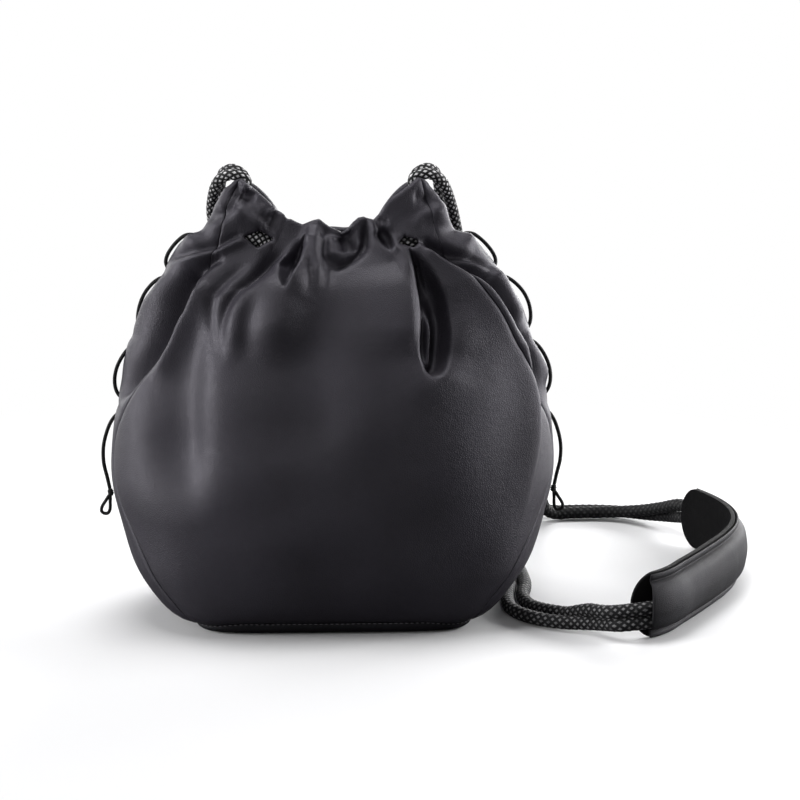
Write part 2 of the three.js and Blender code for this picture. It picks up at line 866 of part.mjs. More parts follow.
function padCover() {
  const flangeOut = padBaseThickness / 2 + fitGap + padCoverThickness;
  const domeOut = padRopeOut + ropeDiameter / 2 + padRopeGap + padCoverThickness;
  const flangeIn = flangeOut - padCoverThickness;
  const domeIn = domeOut - padCoverThickness;
  const lowerHalf = [
    { outer: [padCoverMargin, flangeOut], inner: [padCoverMargin, flangeIn] },
    { outer: [padFlange, flangeOut], inner: [padFlange + padCoverBend, flangeIn] },
    { outer: [padFlange + padWallLean, padWallOut], inner: [padFlange + 2 * padCoverBend, padWallInnerOut] },
    {
      outer: [padFlange + padCrownInset, domeOut - padCrownDrop],
      inner: [padFlange + padCrownInnerInset, domeIn - padCrownInnerDrop],
    },
    { outer: [padHeight / 2, domeOut], inner: [padHeight / 2, domeIn] },
  ];
  const mirrored = ([height, out]) => [padHeight - height, out];
  const upperHalf = lowerHalf
    .slice(0, -1)
    .reverse()
    .map((row) => ({ outer: mirrored(row.outer), inner: mirrored(row.inner) }));
  const profile = [...lowerHalf, ...upperHalf];
  const pointAt = (face) => (column, row) => {
    const [height, out] = profile[row][face];
    return padPoint(coverDistances[column], out, height);
  };
  return sheet(coverDistances.length - 1, profile.length - 1, pointAt("outer"), pointAt("inner"));
}
add("pad_cover", padCover(), looks.pad);

function padRope(lift) {
  const points = evenShares(32).map((share) => {
    const distance = rampBetween(padRopeInset, padLength - padRopeInset, share);
    const pairHeight = rampBetween(padRopeNearHeight, padRopeFarHeight, share);
    return padPoint(distance, padRopeOut, pairHeight + lift);
  });
  return rope(curveThrough(points), outerRopeSides, padRopeStep);
}
const padRopeLift = (ropeDiameter + fitGap) / 2;
add("pad_rope_upper", padRope(padRopeLift), looks.rope);
add("pad_rope_lower", padRope(-padRopeLift), looks.rope);

for (const [name, points] of Object.entries(strapRoutes)) {
  const curve = curveThrough(points.map((point) => new THREE.Vector3(...point)));
  add(name, rope(curve, outerRopeSides, strapRopeStep), looks.rope);
}

export default pouch;
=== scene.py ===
from math import cos, pi, radians, sin

import bmesh
import bpy
import numpy as np
from mathutils import Matrix, Vector


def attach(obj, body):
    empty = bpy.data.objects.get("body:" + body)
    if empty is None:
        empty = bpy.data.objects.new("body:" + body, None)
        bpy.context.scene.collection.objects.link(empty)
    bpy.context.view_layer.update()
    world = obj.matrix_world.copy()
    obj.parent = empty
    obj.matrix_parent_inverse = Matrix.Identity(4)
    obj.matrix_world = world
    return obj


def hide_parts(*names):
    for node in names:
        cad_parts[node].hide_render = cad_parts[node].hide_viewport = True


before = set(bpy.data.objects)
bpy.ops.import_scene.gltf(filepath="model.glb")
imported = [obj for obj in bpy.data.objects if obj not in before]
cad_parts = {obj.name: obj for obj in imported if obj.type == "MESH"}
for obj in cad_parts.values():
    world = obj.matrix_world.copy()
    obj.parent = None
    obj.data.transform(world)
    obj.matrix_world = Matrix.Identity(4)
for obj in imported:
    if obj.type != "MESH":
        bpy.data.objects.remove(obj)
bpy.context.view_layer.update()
scene = bpy.context.scene
mm = 0.001
print("frame loaded, nodes:", len(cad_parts))


cameraSettings = {
    "azimuth": -2,
    "elevation": 13,
    "lens": 120,
    "sensor": 36,
    "distance": 1.27,
    "target": (0, 0, 0.1),
    "targetPixel": (331, 405),
    "picture": 800,
    "clip": (0.05, 20),
}


def makeCamera(s):
    az, el = radians(s["azimuth"]), radians(s["elevation"])
    forward = -Vector((sin(az) * cos(el), -cos(az) * cos(el), sin(el)))
    right = forward.cross(Vector((0, 0, 1))).normalized()
    up = right.cross(forward)
    focal = s["lens"] / s["sensor"] * s["picture"]
    across = (s["targetPixel"][0] - s["picture"] / 2) / focal
    rise = -(s["targetPixel"][1] - s["picture"] / 2) / focal
    place = Vector(s["target"]) - s["distance"] * (forward + across * right + rise * up)
    data = bpy.data.cameras.new("photoCamera")
    data.lens = s["lens"]
    data.sensor_width = s["sensor"]
    data.clip_start, data.clip_end = s["clip"]
    camera = bpy.data.objects.new("photoCamera", data)
    camera.matrix_world = Matrix.Translation(place) @ Matrix((right, up, -forward)).transposed().to_4x4()
    scene.collection.objects.link(camera)
    scene.camera = camera


makeCamera(cameraSettings)


# small helpers for making meshes
def ease(share, amount=1):
    return amount * share * share * (3 - 2 * share)


def hermite(t, start, end, leave, arrive):
    return ((2 * t**3 - 3 * t**2 + 1) * start + (t**3 - 2 * t**2 + t) * leave
            + (3 * t**2 - 2 * t**3) * end + (t**3 - t**2) * arrive)


def unit(vectors):
    return vectors / np.linalg.norm(vectors, axis=-1, keepdims=True)


def placesAt(wanted, along, line):
    # the places that lie at the wanted lengths along a line
    return np.stack([np.interp(wanted, along, line[:, k]) for k in range(3)], -1)


def evenOut(values, reach):
    # running average over the values up to reach steps away
    window = np.ones(2 * reach + 1) / (2 * reach + 1)
    return np.convolve(np.pad(values, reach, mode="edge"), window, mode="valid")


def smoothPath(points, spacing, cuts=24):
    # centripetal Catmull-Rom through the points, cut into even steps
    line = np.array(points, float)
    line = np.vstack([2 * line[0] - line[1], line, 2 * line[-1] - line[-2]])
    dense = []
    for i in range(1, len(line) - 2):
        p0, p1, p2, p3 = line[i - 1:i + 3]
        d0, d1, d2 = (np.linalg.norm(b - a) ** 0.5 for a, b in ((p0, p1), (p1, p2), (p2, p3)))
        leave = ((p1 - p0) / d0 - (p2 - p0) / (d0 + d1) + (p2 - p1) / d1) * d1
        arrive = ((p2 - p1) / d1 - (p3 - p1) / (d1 + d2) + (p3 - p2) / d2) * d1
        dense += [hermite(t, p1, p2, leave, arrive) for t in np.linspace(0, 1, cuts, endpoint=False)]
    dense.append(line[-2])
    return evenSteps(np.array(dense), spacing)


def evenSteps(line, spacing):
    along = pathLengths(line)
    return placesAt(np.linspace(0, along[-1], max(2, round(along[-1] / spacing)) + 1), along, line)


def pathLengths(line):
    return np.concatenate([[0], np.cumsum(np.linalg.norm(np.diff(line, axis=0), axis=1))])


def pathSides(path):
    # two directions across the path at each step, carried along it without twisting
    tangents = unit(np.gradient(path, axis=0))
    side = np.cross(tangents[0], (0.1, 0.2, 1))
    sides = []
    for tangent in tangents:
        side = side - tangent * np.dot(side, tangent)
        side /= np.linalg.norm(side)
        sides.append(side)
    return np.array(sides), np.cross(tangents, sides)


def gridMesh(points, weld):
    # a bmesh grid whose corners are moved to the given rows of points
    bm = bmesh.new()
    bm.loops.layers.uv.new("flat")
    rows, columns = points.shape[0] - 1, points.shape[1] - 1
    bmesh.ops.create_grid(bm, x_segments=columns, y_segments=rows, size=0.5, calc_uvs=True)
    for vert, place in zip(bm.verts, points.reshape(-1, 3)):
        vert.co = place
    if weld:
        bmesh.ops.remove_doubles(bm, verts=bm.verts[:], dist=1e-6)
    return bm


def meshPiece(name, bm, material, uvSize=(1, 1)):
    mesh = bpy.data.meshes.new(name)
    bm.to_mesh(mesh)
    bm.free()
    if mesh.uv_layers:
        uv = np.zeros(len(mesh.loops) * 2, np.float32)
        mesh.uv_layers[0].data.foreach_get("uv", uv)
        uv = uv.reshape(-1, 2) * np.array(uvSize, np.float32)
        mesh.uv_layers[0].data.foreach_set("uv", uv.ravel())
    mesh.materials.append(material)
    mesh.shade_smooth()
    piece = bpy.data.objects.new(name, mesh)
    scene.collection.objects.link(piece)
    return piece


def sheetPiece(name, points, material, thickness, softEdge=0, uvSize=(1, 1), weld=False, holes=None):
    # a sheet through rows of points, thickened inward; thickness and softEdge are in millimetres
    bm = gridMesh(points, weld)
    if holes is not None:
        cutOut = [face for face in bm.faces if holes[face.index]]
        bmesh.ops.delete(bm, geom=cutOut, context="FACES")
    piece = meshPiece(name, bm, material, uvSize)
    sheet = piece.modifiers.new("thickness", "SOLIDIFY")
    sheet.thickness = thickness * mm
    sheet.offset = -1
    if softEdge:
        soften = piece.modifiers.new("softEdge", "BEVEL")
        soften.width = softEdge * mm
        soften.segments = 2
        soften.limit_method = "ANGLE"
        soften.profile = 0.5
        soften.material = -1
    return piece


def tubePiece(name, path, radius, sides, material, closed=False, relief=None):
    # radius is one value or one for each step; relief(around, along) adds to it
    along = pathLengths(path)
    across, upward = pathSides(path)
    twist = np.zeros(len(path))
    if closed:
        turn = np.arctan2(np.dot(across[-1], upward[0]), np.dot(across[-1], across[0]))
        twist = -turn * along / along[-1]
    around = np.linspace(0, 1, sides + 1)[None, :]
    angle = (around * 2 * pi + twist[:, None])[..., None]
    size = np.reshape(radius, (-1, 1)) + np.zeros((len(path), sides + 1))
    if relief is not None:
        size = size + relief(around, along[:, None])
    circle = np.cos(angle) * across[:, None, :] + np.sin(angle) * upward[:, None, :]
    points = path[:, None, :] + size[..., None] * circle
    points[:, -1] = points[:, 0]
    if closed:
        points[-1] = points[0]
    bm = gridMesh(points, weld=True)
    ends = [edge for edge in bm.edges if edge.is_boundary]
    if ends:
        bmesh.ops.holes_fill(bm, edges=ends, sides=0)
        bmesh.ops.recalc_face_normals(bm, faces=bm.faces[:])
    return meshPiece(name, bm, material, (1, along[-1]))


def declare(piece, slotName, *nodes, body="pouch"):
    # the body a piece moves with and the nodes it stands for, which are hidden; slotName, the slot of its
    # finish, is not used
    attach(piece, body)
    if nodes:
        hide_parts(*nodes)


# node helpers for the materials
def fillInputs(tree, node, inputs):
    for key, value in inputs.items():
        if isinstance(value, bpy.types.NodeSocket):
            tree.links.new(value, node.inputs[key])
        else:
            node.inputs[key].default_value = value


def addNode(tree, kind, inputs=None, **options):
    made = tree.nodes.new(kind)
    for key, value in options.items():
        setattr(made, key, value)
    fillInputs(tree, made, inputs or {})
    return made


def calc(tree, operation, *values):
    return addNode(tree, "ShaderNodeMath", dict(enumerate(values)), operation=operation).outputs[0]


def ramp(tree, value, low, high, fromLow, fromHigh):
    inputs = {"Value": value, "From Min": fromLow, "From Max": fromHigh, "To Min": low, "To Max": high}
    return addNode(tree, "ShaderNodeMapRange", inputs, interpolation_type="SMOOTHSTEP").outputs[0]


def mixColours(tree, share, first, second):
    return addNode(tree, "ShaderNodeMix", {0: share, 6: first, 7: second}, data_type="RGBA").outputs[2]


def noise(tree, place, scale, detail, **more):
    inputs = {"Vector": place, "Scale": scale, "Detail": detail, **more}
    return addNode(tree, "ShaderNodeTexNoise", inputs).outputs[0]


def bump(tree, height, distance, strength=1, **more):
    inputs = {"Height": height, "Distance": distance, "Strength": strength, **more}
    return addNode(tree, "ShaderNodeBump", inputs).outputs[0]


def splitParts(tree, vector):
    return addNode(tree, "ShaderNodeSeparateXYZ", {0: vector}).outputs


def startMaterial(name):
    material = bpy.data.materials.new(name)
    material.use_nodes = True
    tree = material.node_tree
    place = addNode(tree, "ShaderNodeTexCoord").outputs["Object"]
    return material, tree, tree.nodes["Principled BSDF"], place


# fine-grained synthetic leather; the grain and the fine creases read Object coordinates
def leatherMaterial(name, s):
    material, tree, shader, place = startMaterial(name)
    cloud = noise(tree, place, s["cloudScale"], 3)
    patch = noise(tree, place, s["patchScale"], 4)
    grain = addNode(tree, "ShaderNodeTexVoronoi", {"Vector": place, "Scale": 1 / s["grainSize"]},
                    feature="DISTANCE_TO_EDGE").outputs["Distance"]
    pore = ramp(tree, grain, 0, 1, *s["poreEdge"])
    crease = noise(tree, place, 1 / s["creaseSize"], 5, Roughness=0.6, Distortion=0.6)
    light = (*s["light"], 1)
    base = mixColours(tree, ramp(tree, cloud, 0, 1, *s["cloudEdge"]), (*s["dark"], 1), light)
    rough = calc(tree, "MULTIPLY_ADD", patch, s["roughSpread"], s["roughness"] - s["roughSpread"] / 2)
    fillInputs(tree, shader, {
        "Base Color": mixColours(tree, calc(tree, "MULTIPLY", patch, s["patchShare"]), base, light),
        "Roughness": calc(tree, "MULTIPLY_ADD", pore, -s["poreShine"], rough),
        "Normal": bump(tree, pore, s["grainDepth"], Normal=bump(tree, crease, s["creaseDepth"])),
        "Specular IOR Level": s["gloss"],
        "Specular Tint": (*s["sheenTint"], 1),
    })
    return material


leatherSettings = {
    "dark": (0.0115, 0.0101, 0.0142),
    "light": (0.0196, 0.0175, 0.0243),
    "roughness": 0.56,
    "roughSpread": 0.14,
    "grainSize": 0.0009,
    "grainDepth": 0.00006,
    "creaseSize": 0.011,
    "creaseDepth": 0.0002,
    "gloss": 0.68,
    "sheenTint": (0.93, 0.9, 1.0),
    "cloudScale": 28,
    "cloudEdge": (0.3, 0.7),
    "patchScale": 260,
    "patchShare": 0.3,
    "poreEdge": (0.02, 0.28),
    "poreShine": 0.04,
}
leatherLook = leatherMaterial("darkLeather", leatherSettings)
liningLook = leatherMaterial("blackLining", {**leatherSettings, "dark": (0.006, 0.006, 0.007),
                                             "light": (0.011, 0.011, 0.012), "roughness": 0.8,
                                             "grainSize": 0.0006, "creaseDepth": 0.0008, "gloss": 0.25})


# braided rope: light flecks where the strands cross over, on the piece's own UV map
ropeSettings = {
    "diameter": 0.0065,
    "sides": 40,
    "step": 0.0006,
    "strands": 6,
    "lay": 0.0036,
    "relief": 0.00034,
    "reliefRound": 0.6,
    "reliefLevel": 0.75,
    "black": (0.008, 0.008, 0.009),
    "fleck": (0.93, 0.92, 0.94),
    "fleckSize": 0.225,
    "fleckEdge": 0.16,
    "fray": 0.14,
    # painted shade: the flecks are drawn dimmer low down and toward the back, where the rope lies in shade;
    # their strength goes from one share to the other between two places, in metres
    "paintedShadeLowShares": (0.24, 1.0),
    "paintedShadeLowPlaces": (0.03, 0.18),
    "paintedShadeBackShares": (1, 0.15),
    "paintedShadeBackPlaces": (-0.02, 0.06),
    "fuzzScale": 1500,
    "unevenScale": 420,
    "unevenShares": (0.4, 1),
    "unevenEdge": (0.35, 0.6),
    "fibres": 5,
    "fibreHeight": 0.09,
    "fuzzHeight": 0.3,
    "crownHeight": 1.4,
    "bumpDepth": 0.0003,
    "bumpStrength": 0.9,
}


def ropeMaterial(name, s):
    material, tree, shader, place = startMaterial(name)
    uv = splitParts(tree, addNode(tree, "ShaderNodeUVMap").outputs[0])
    turns = calc(tree, "MULTIPLY", uv[0], s["strands"])
    along = calc(tree, "DIVIDE", uv[1], s["lay"])
    right = calc(tree, "ADD", turns, along)
    left = calc(tree, "SUBTRACT", turns, along)
    fromMiddle = [calc(tree, "SUBTRACT", calc(tree, "FRACT", side), 0.5) for side in (right, left)]
    distance = calc(tree, "MAXIMUM", *[calc(tree, "ABSOLUTE", side) for side in fromMiddle])
    fuzz = noise(tree, place, s["fuzzScale"], 2)
    uneven = noise(tree, place, s["unevenScale"], 1)
    edge = calc(tree, "MULTIPLY_ADD", fuzz, s["fray"], distance)
    shown = ramp(tree, edge, 1, 0, s["fleckSize"], s["fleckSize"] + s["fleckEdge"])
    # painted shade: besides their uneven random strength, the flecks are dimmed low down and toward the
    # back, for the shade there
    _, behind, height = splitParts(tree, place)
    for fade in (ramp(tree, uneven, *s["unevenShares"], *s["unevenEdge"]),
                 ramp(tree, height, *s["paintedShadeLowShares"], *s["paintedShadeLowPlaces"]),
                 ramp(tree, behind, *s["paintedShadeBackShares"], *s["paintedShadeBackPlaces"])):
        shown = calc(tree, "MULTIPLY", shown, fade)
    crossed = calc(tree, "ADD", calc(tree, "FLOOR", right), calc(tree, "FLOOR", left))
    parity = calc(tree, "PINGPONG", crossed, 1)
    thread = calc(tree, "ADD", calc(tree, "MULTIPLY", right, parity),
                  calc(tree, "MULTIPLY", left, calc(tree, "SUBTRACT", 1.0, parity)))
    fibres = calc(tree, "SINE", calc(tree, "MULTIPLY", thread, 2 * pi * s["fibres"]))
    fluff = calc(tree, "MULTIPLY", fuzz, s["fuzzHeight"])
    fluff = calc(tree, "MULTIPLY_ADD", fibres, s["fibreHeight"], fluff)
    crown = calc(tree, "MULTIPLY_ADD", distance, -s["crownHeight"], fluff)
    fillInputs(tree, shader, {
        "Base Color": mixColours(tree, shown, (*s["black"], 1), (*s["fleck"], 1)),
        "Normal": bump(tree, crown, s["bumpDepth"], s["bumpStrength"]),
        "Roughness": 0.66,
        "Specular IOR Level": 0.25,
        "Sheen Weight": 0.03,
        "Sheen Roughness": 0.4,
    })
    return material


drawcordWeave = {**ropeSettings, "strands": 8, "lay": 0.0027, "fleckSize": 0.25}
ropeLook = ropeMaterial("braidedRope", ropeSettings)
drawcordLook = ropeMaterial("braidedDrawcord", drawcordWeave)


def braidRelief(s):
    # strands cross in a diamond lattice and stand proud where they cross over
    def relief(around, along):
        right = s["strands"] * around + along / s["lay"]
        left = s["strands"] * around - along / s["lay"]
        lattice = np.abs(np.sin(pi * right) * np.sin(pi * left))
        return s["relief"] * (lattice ** s["reliefRound"] - s["reliefLevel"])
    return relief


def ropePiece(name, path, share, look=ropeLook, weave=ropeSettings):
    # share is that of the full thickness, one value or one for each step
    radius = weave["diameter"] / 2 * share
    return tubePiece(name, path, radius, weave["sides"], look, relief=braidRelief(weave))


# sizes of the shoulder pad, which stands on its long edge
padSettings = {
    "line": [
        (138.3, -56), (147.6, -53.2), (156, -45.4), (164, -33), (173.5, -18), (183, -2), (191.5, 13.5),
        (198.5, 31), (201.5, 47), (201, 62), (198, 76), (193.5, 88), (188.5, 98), (184.5, 104.5),
    ],
    "height": 31.5,
    "endRound": 12,
    "coverSetback": 10,
    "baseThickness": 2,
    "coverThickness": 1.1,
    "innerSoftEdge": 0.5,
    "coverSoftEdge": 0.3,
    "steps": 181,
    "innerRows": 31,
    "innerInset": 0.15,
    "ropeSteps": 65,
    "ropeSpots": (0, 0.12, 0.6, 1),
    "pressed": 0.86,
    "ropeOut": 4.4,
    "ropeInset": 2.5,
    "ropeNear": 12.2,
    "ropeFar": 15.7,
    "ropeLift": 3.4,
    # height from the lower edge and reach outward, in millimetres, for the cover's lower half
    "coverProfile": [(0.3, 2.4), (0.7, 2.8), (1.6, 2.95), (2.5, 2.8), (3.1, 2.2), (3.5, 1.9), (3.9, 2.2),
                     (4.3, 3.4), (5.1, 5.2), (6.6, 7.0), (9, 8.5), (12, 9.4), (15.75, 9.8)],
    "profileStep": 0.55,
    # the cover's raised middle starts at this reach, is full so much further out, is flatter at the
    # given shares of the pad's length, and sags unevenly
    "middleFrom": 4,
    "middleReach": 5,
    "flatness": ((0, 0.25, 0.6, 1), (0.98, 0.9, 0.78, 0.72)),
    "sag": {"seed": 12, "count": 5, "sizes": (6, 16), "height": 0.25},
    # toward its ends the cover reaches on, and its middle more than its edges
    "endReach": 1.5,
    "middleShare": 0.3,
}
padLine = smoothPath([(x * mm, y * mm, 0) for x, y in padSettings["line"]], 0.0005)
padLengths = pathLengths(padLine)
padTangents = unit(np.gradient(padLine, axis=0))


def padPoints(distance, outward, height):
    # distance along the pad's middle line, reach outward from it and height, all in millimetres
    place = placesAt(distance * mm, padLengths, padLine)
    heading = placesAt(distance * mm, padLengths, padTangents)
    x, y = heading[..., 0], heading[..., 1]
    size = np.hypot(x, y)
    place[..., 0] += y / size * outward * mm
    place[..., 1] -= x / size * outward * mm
    place[..., 2] += height * mm
    return place


# the four free stretches of rope, from the ears to the pad's two ends; inPad is the pad rope each
# one goes on as
strapRopes = {
    "strapRopeLeftFront": {"node": "strap_rope_left_front", "inPad": "lower", "route": [
        (-0.0394, -0.0056, 0.2021), (-0.0383, -0.0053, 0.205), (-0.0394, -0.005, 0.2094),
        (-0.0438, -0.0044, 0.2112), (-0.0492, -0.0028, 0.2104), (-0.0532, 0.0024, 0.205),
        (-0.0552, 0.0092, 0.197), (-0.0556, 0.0148, 0.1885), (-0.053, 0.022, 0.1795),
        (-0.044, 0.0314, 0.169), (-0.032, 0.0416, 0.1555), (-0.017, 0.0502, 0.14),
        (0, 0.0564, 0.1235), (0.017, 0.0604, 0.1055), (0.033, 0.0626, 0.086),
        (0.048, 0.0642, 0.063), (0.0615, 0.0653, 0.041), (0.0725, 0.0645, 0.022),
        (0.0803, 0.06, 0.0095), (0.085, 0.05, 0.0042), (0.088, 0.036, 0.0034),
        (0.0878, 0.02, 0.0034), (0.085, -0.002, 0.0034), (0.086, -0.019, 0.0034),
        (0.0935, -0.0312, 0.0034), (0.103, -0.0382, 0.0034), (0.112, -0.0425, 0.0038),
        (0.119, -0.0457, 0.0046), (0.126, -0.0512, 0.0058), (0.132, -0.0576, 0.0074),
        (0.1366, -0.0608, 0.0084), (0.1411, -0.0603, 0.0088),
    ]},
    "strapRopeLeftBack": {"node": "strap_rope_left_back", "inPad": "upper", "route": [
        (-0.0395, 0.0056, 0.202), (-0.0386, 0.0054, 0.205), (-0.0404, 0.0062, 0.2094),
        (-0.0448, 0.009, 0.2118), (-0.0492, 0.0134, 0.2103), (-0.0514, 0.0174, 0.2044),
        (-0.0508, 0.0206, 0.1945), (-0.0464, 0.0246, 0.1845), (-0.0375, 0.0302, 0.174),
        (-0.026, 0.04, 0.1605), (-0.011, 0.0488, 0.145), (0.006, 0.0548, 0.1285),
        (0.023, 0.059, 0.1105), (0.039, 0.0618, 0.0905), (0.055, 0.064, 0.0675),
        (0.0695, 0.0663, 0.0445), (0.081, 0.0676, 0.025), (0.089, 0.065, 0.01),
        (0.0936, 0.0545, 0.0038), (0.095, 0.04, 0.0034), (0.0952, 0.02, 0.0034),
        (0.0926, 0, 0.0034), (0.0955, -0.014, 0.0035), (0.1038, -0.0275, 0.005),
        (0.1123, -0.036, 0.0066), (0.119, -0.0434, 0.0104), (0.126, -0.052, 0.0121),
        (0.132, -0.0578, 0.0138), (0.1366, -0.0608, 0.0149), (0.1411, -0.0603, 0.0154),
    ]},
    "strapRopeRightFront": {"node": "strap_rope_right_front", "inPad": "upper", "route": [
        (0.0393, -0.0056, 0.2022), (0.0382, -0.0053, 0.205), (0.0394, -0.005, 0.2094),
        (0.0438, -0.0044, 0.2112), (0.0492, -0.0028, 0.2104), (0.0536, 0.0024, 0.205),
        (0.0566, 0.0092, 0.1975), (0.0592, 0.0155, 0.188), (0.0618, 0.0234, 0.1755),
        (0.0668, 0.034, 0.157), (0.0758, 0.054, 0.125), (0.0885, 0.0815, 0.0855),
        (0.102, 0.1125, 0.0455), (0.1123, 0.1375, 0.018), (0.1158, 0.1446, 0.009),
        (0.1196, 0.1482, 0.0046), (0.126, 0.1498, 0.0042), (0.136, 0.1504, 0.0042),
        (0.147, 0.1502, 0.0044), (0.158, 0.1466, 0.0056), (0.168, 0.1385, 0.0084),
        (0.176, 0.129, 0.0122), (0.1826, 0.1184, 0.0166), (0.1864, 0.1108, 0.0188),
        (0.1894, 0.1056, 0.0191),
    ]},
    "strapRopeRightBack": {"node": "strap_rope_right_back", "inPad": "lower", "route": [
        (0.0393, 0.0055, 0.2021), (0.0385, 0.0053, 0.205), (0.0404, 0.0061, 0.2094),
        (0.0448, 0.009, 0.2118), (0.0492, 0.0134, 0.2103), (0.0516, 0.0174, 0.2044),
        (0.0528, 0.0222, 0.1922), (0.055, 0.03, 0.1775), (0.0596, 0.0412, 0.1585),
        (0.0684, 0.0615, 0.1255), (0.0815, 0.09, 0.0855), (0.0954, 0.122, 0.0455),
        (0.1072, 0.1478, 0.0175), (0.1116, 0.1546, 0.008), (0.117, 0.157, 0.0039),
        (0.125, 0.1574, 0.0034), (0.136, 0.1576, 0.0034), (0.1475, 0.1572, 0.0034),
        (0.1605, 0.1534, 0.0035), (0.1718, 0.1438, 0.0046), (0.1803, 0.1322, 0.0069),
        (0.1846, 0.121, 0.0095), (0.1868, 0.1116, 0.0118), (0.1894, 0.1056, 0.0123),
    ]},
}


def padRopePath(lift):
    s = padSettings
    total = padLengths[-1] / mm
    distance = np.linspace(s["ropeInset"], total - s["ropeInset"], s["ropeSteps"])
    height = np.linspace(s["ropeNear"], s["ropeFar"], s["ropeSteps"]) + lift * s["ropeLift"]
    reach = (s["ropeOut"], s["ropeOut"], s["ropeOut"] - 1, s["ropeOut"])
    outward = np.interp(distance / total, s["ropeSpots"], reach)
    return smoothPath(padPoints(distance, outward, height), ropeSettings["step"])


padRopePaths = {"upper": padRopePath(1), "lower": padRopePath(-1)}
# steps of a pad rope that belong to the strap's end, and the steps that the joined path keeps of each
hiddenSteps = 24
freeKept = slice(None, -14, 12)
padKept = slice(4, hiddenSteps, 5)
# the rope is drawn thinner inside the ear: share of its thickness, by length from its start
earThinning = ((0, 0.05, 0.09), (0.8, 0.8, 1))
for name, rope in strapRopes.items():
    free = smoothPath(rope["route"], ropeSettings["step"])
    inPad = padRopePaths[rope["inPad"]][::1 if "Left" in name else -1]
    path = smoothPath(np.vstack([free[freeKept], inPad[padKept]]), ropeSettings["step"])
    piece = ropePiece(name, path, np.interp(pathLengths(path), *earThinning))
    declare(piece, "rope", rope["node"])
print("strap ropes made")


# the bag's surface: one outline for each level, from the base seam at 0 to the rim at 1
bagShape = {
    "seamHeight": 5.6,
    "bellyHeight": 70,
    "rimHeight": 187,
    "base": (132, 92),
    "belly": (211, 119),
    "mouth": (99, 33),
    "earRise": 20,
    "earStart": 0.42,
    "earFullness": 2.3,
    "backRimDrop": 4,
    # rise, width, depth, corner exponent, ear, sideways lean, seam's share of the way round
    "lower": [
        (0, 0, 0, 6, 0, 0.6, 0.178),
        (0.055, 0.31, 0.22, 4.6, 0, 0, 0.196),
        (0.18, 0.545, 0.48, 3.5, 0, -0.3, 0.21),
        (0.38, 0.755, 0.74, 2.8, 0, 0, 0.222),
        (0.66, 0.905, 0.95, 2.45, 0, 0.5, 0.228),
    ],
    "upper": [
        (0, 1, 1, 2.35, 0, 0.6, 0.23),
        (0.19, 0.972, 0.965, 2.3, 0, 0.8, 0.222),
        (0.37, 0.899, 0.884, 2.25, 0, 1.1, 0.205),
        (0.53, 0.796, 0.756, 2.2, 0, 1.7, 0.192),
        (0.667, 0.687, 0.616, 2.2, 0, 2, 0.185),
        (0.786, 0.557, 0.442, 2.2, 0.03, 1, 0.178),
        (0.872, 0.41, 0.233, 2.3, 0.15, 0, 0.168),
        (0.944, 0.205, 0.081, 2.4, 0.45, -0.4, 0.166),
        (1, 0, 0, 2.6, 1, 0, 0.168),
    ],
    # toward the ears' tips the side seams draw apart
    "earSeamLow": 0.86,
    "earSeamShift": 0.024,
    # and low down they run further forward: level and share of the way round
    "lowSeam": [(0, 0.15), (0.05, 0.15), (0.13, 0.158), (0.19, 0.17), (0.25, 0.182), (0.3, 0.196),
                (0.35, 0.214), (0.41, 0.2285), (0.46, 0.2285)],
    # toward the base's two ends the base seam sits lower, in metres
    "endDrop": 0.0019,
    "dropStart": 0.04,
    "dropReach": 0.022,
    "levels": 360,
    "turns": 1024,
    "outlineSteps": 1440,
    "seamEvening": 8,
}


def sectionRows(s):
    rows = []
    spans = ((s["lower"], s["seamHeight"], s["bellyHeight"], s["base"], s["belly"]),
             (s["upper"], s["bellyHeight"], s["rimHeight"], s["mouth"], s["belly"]))
    for part, low, high, small, large in spans:
        for rise, width, depth, square, ear, shift, seam in part:
            rows.append((low + (high - low) * rise, (small[0] + (large[0] - small[0]) * width) / 2,
                         (small[1] + (large[1] - small[1]) * depth) / 2, square, ear, shift, seam))
    return np.array(rows)


def sectionAt(rows, level):
    place = min(max(level, 0), 1) * (len(rows) - 1)
    i = min(int(place), len(rows) - 2)
    before, low, high, after = rows[max(i - 1, 0)], rows[i], rows[i + 1], rows[min(i + 2, len(rows) - 1)]
    return hermite(place - i, low, high, (high - before) / 2, (after - low) / 2)


def roundedOutline(turn, halfWidth, halfDepth, square):
    x = np.sign(np.sin(turn)) * np.abs(np.sin(turn)) ** (2 / square) * halfWidth
    y = -np.sign(np.cos(turn)) * np.abs(np.cos(turn)) ** (2 / square) * halfDepth
    return x, y


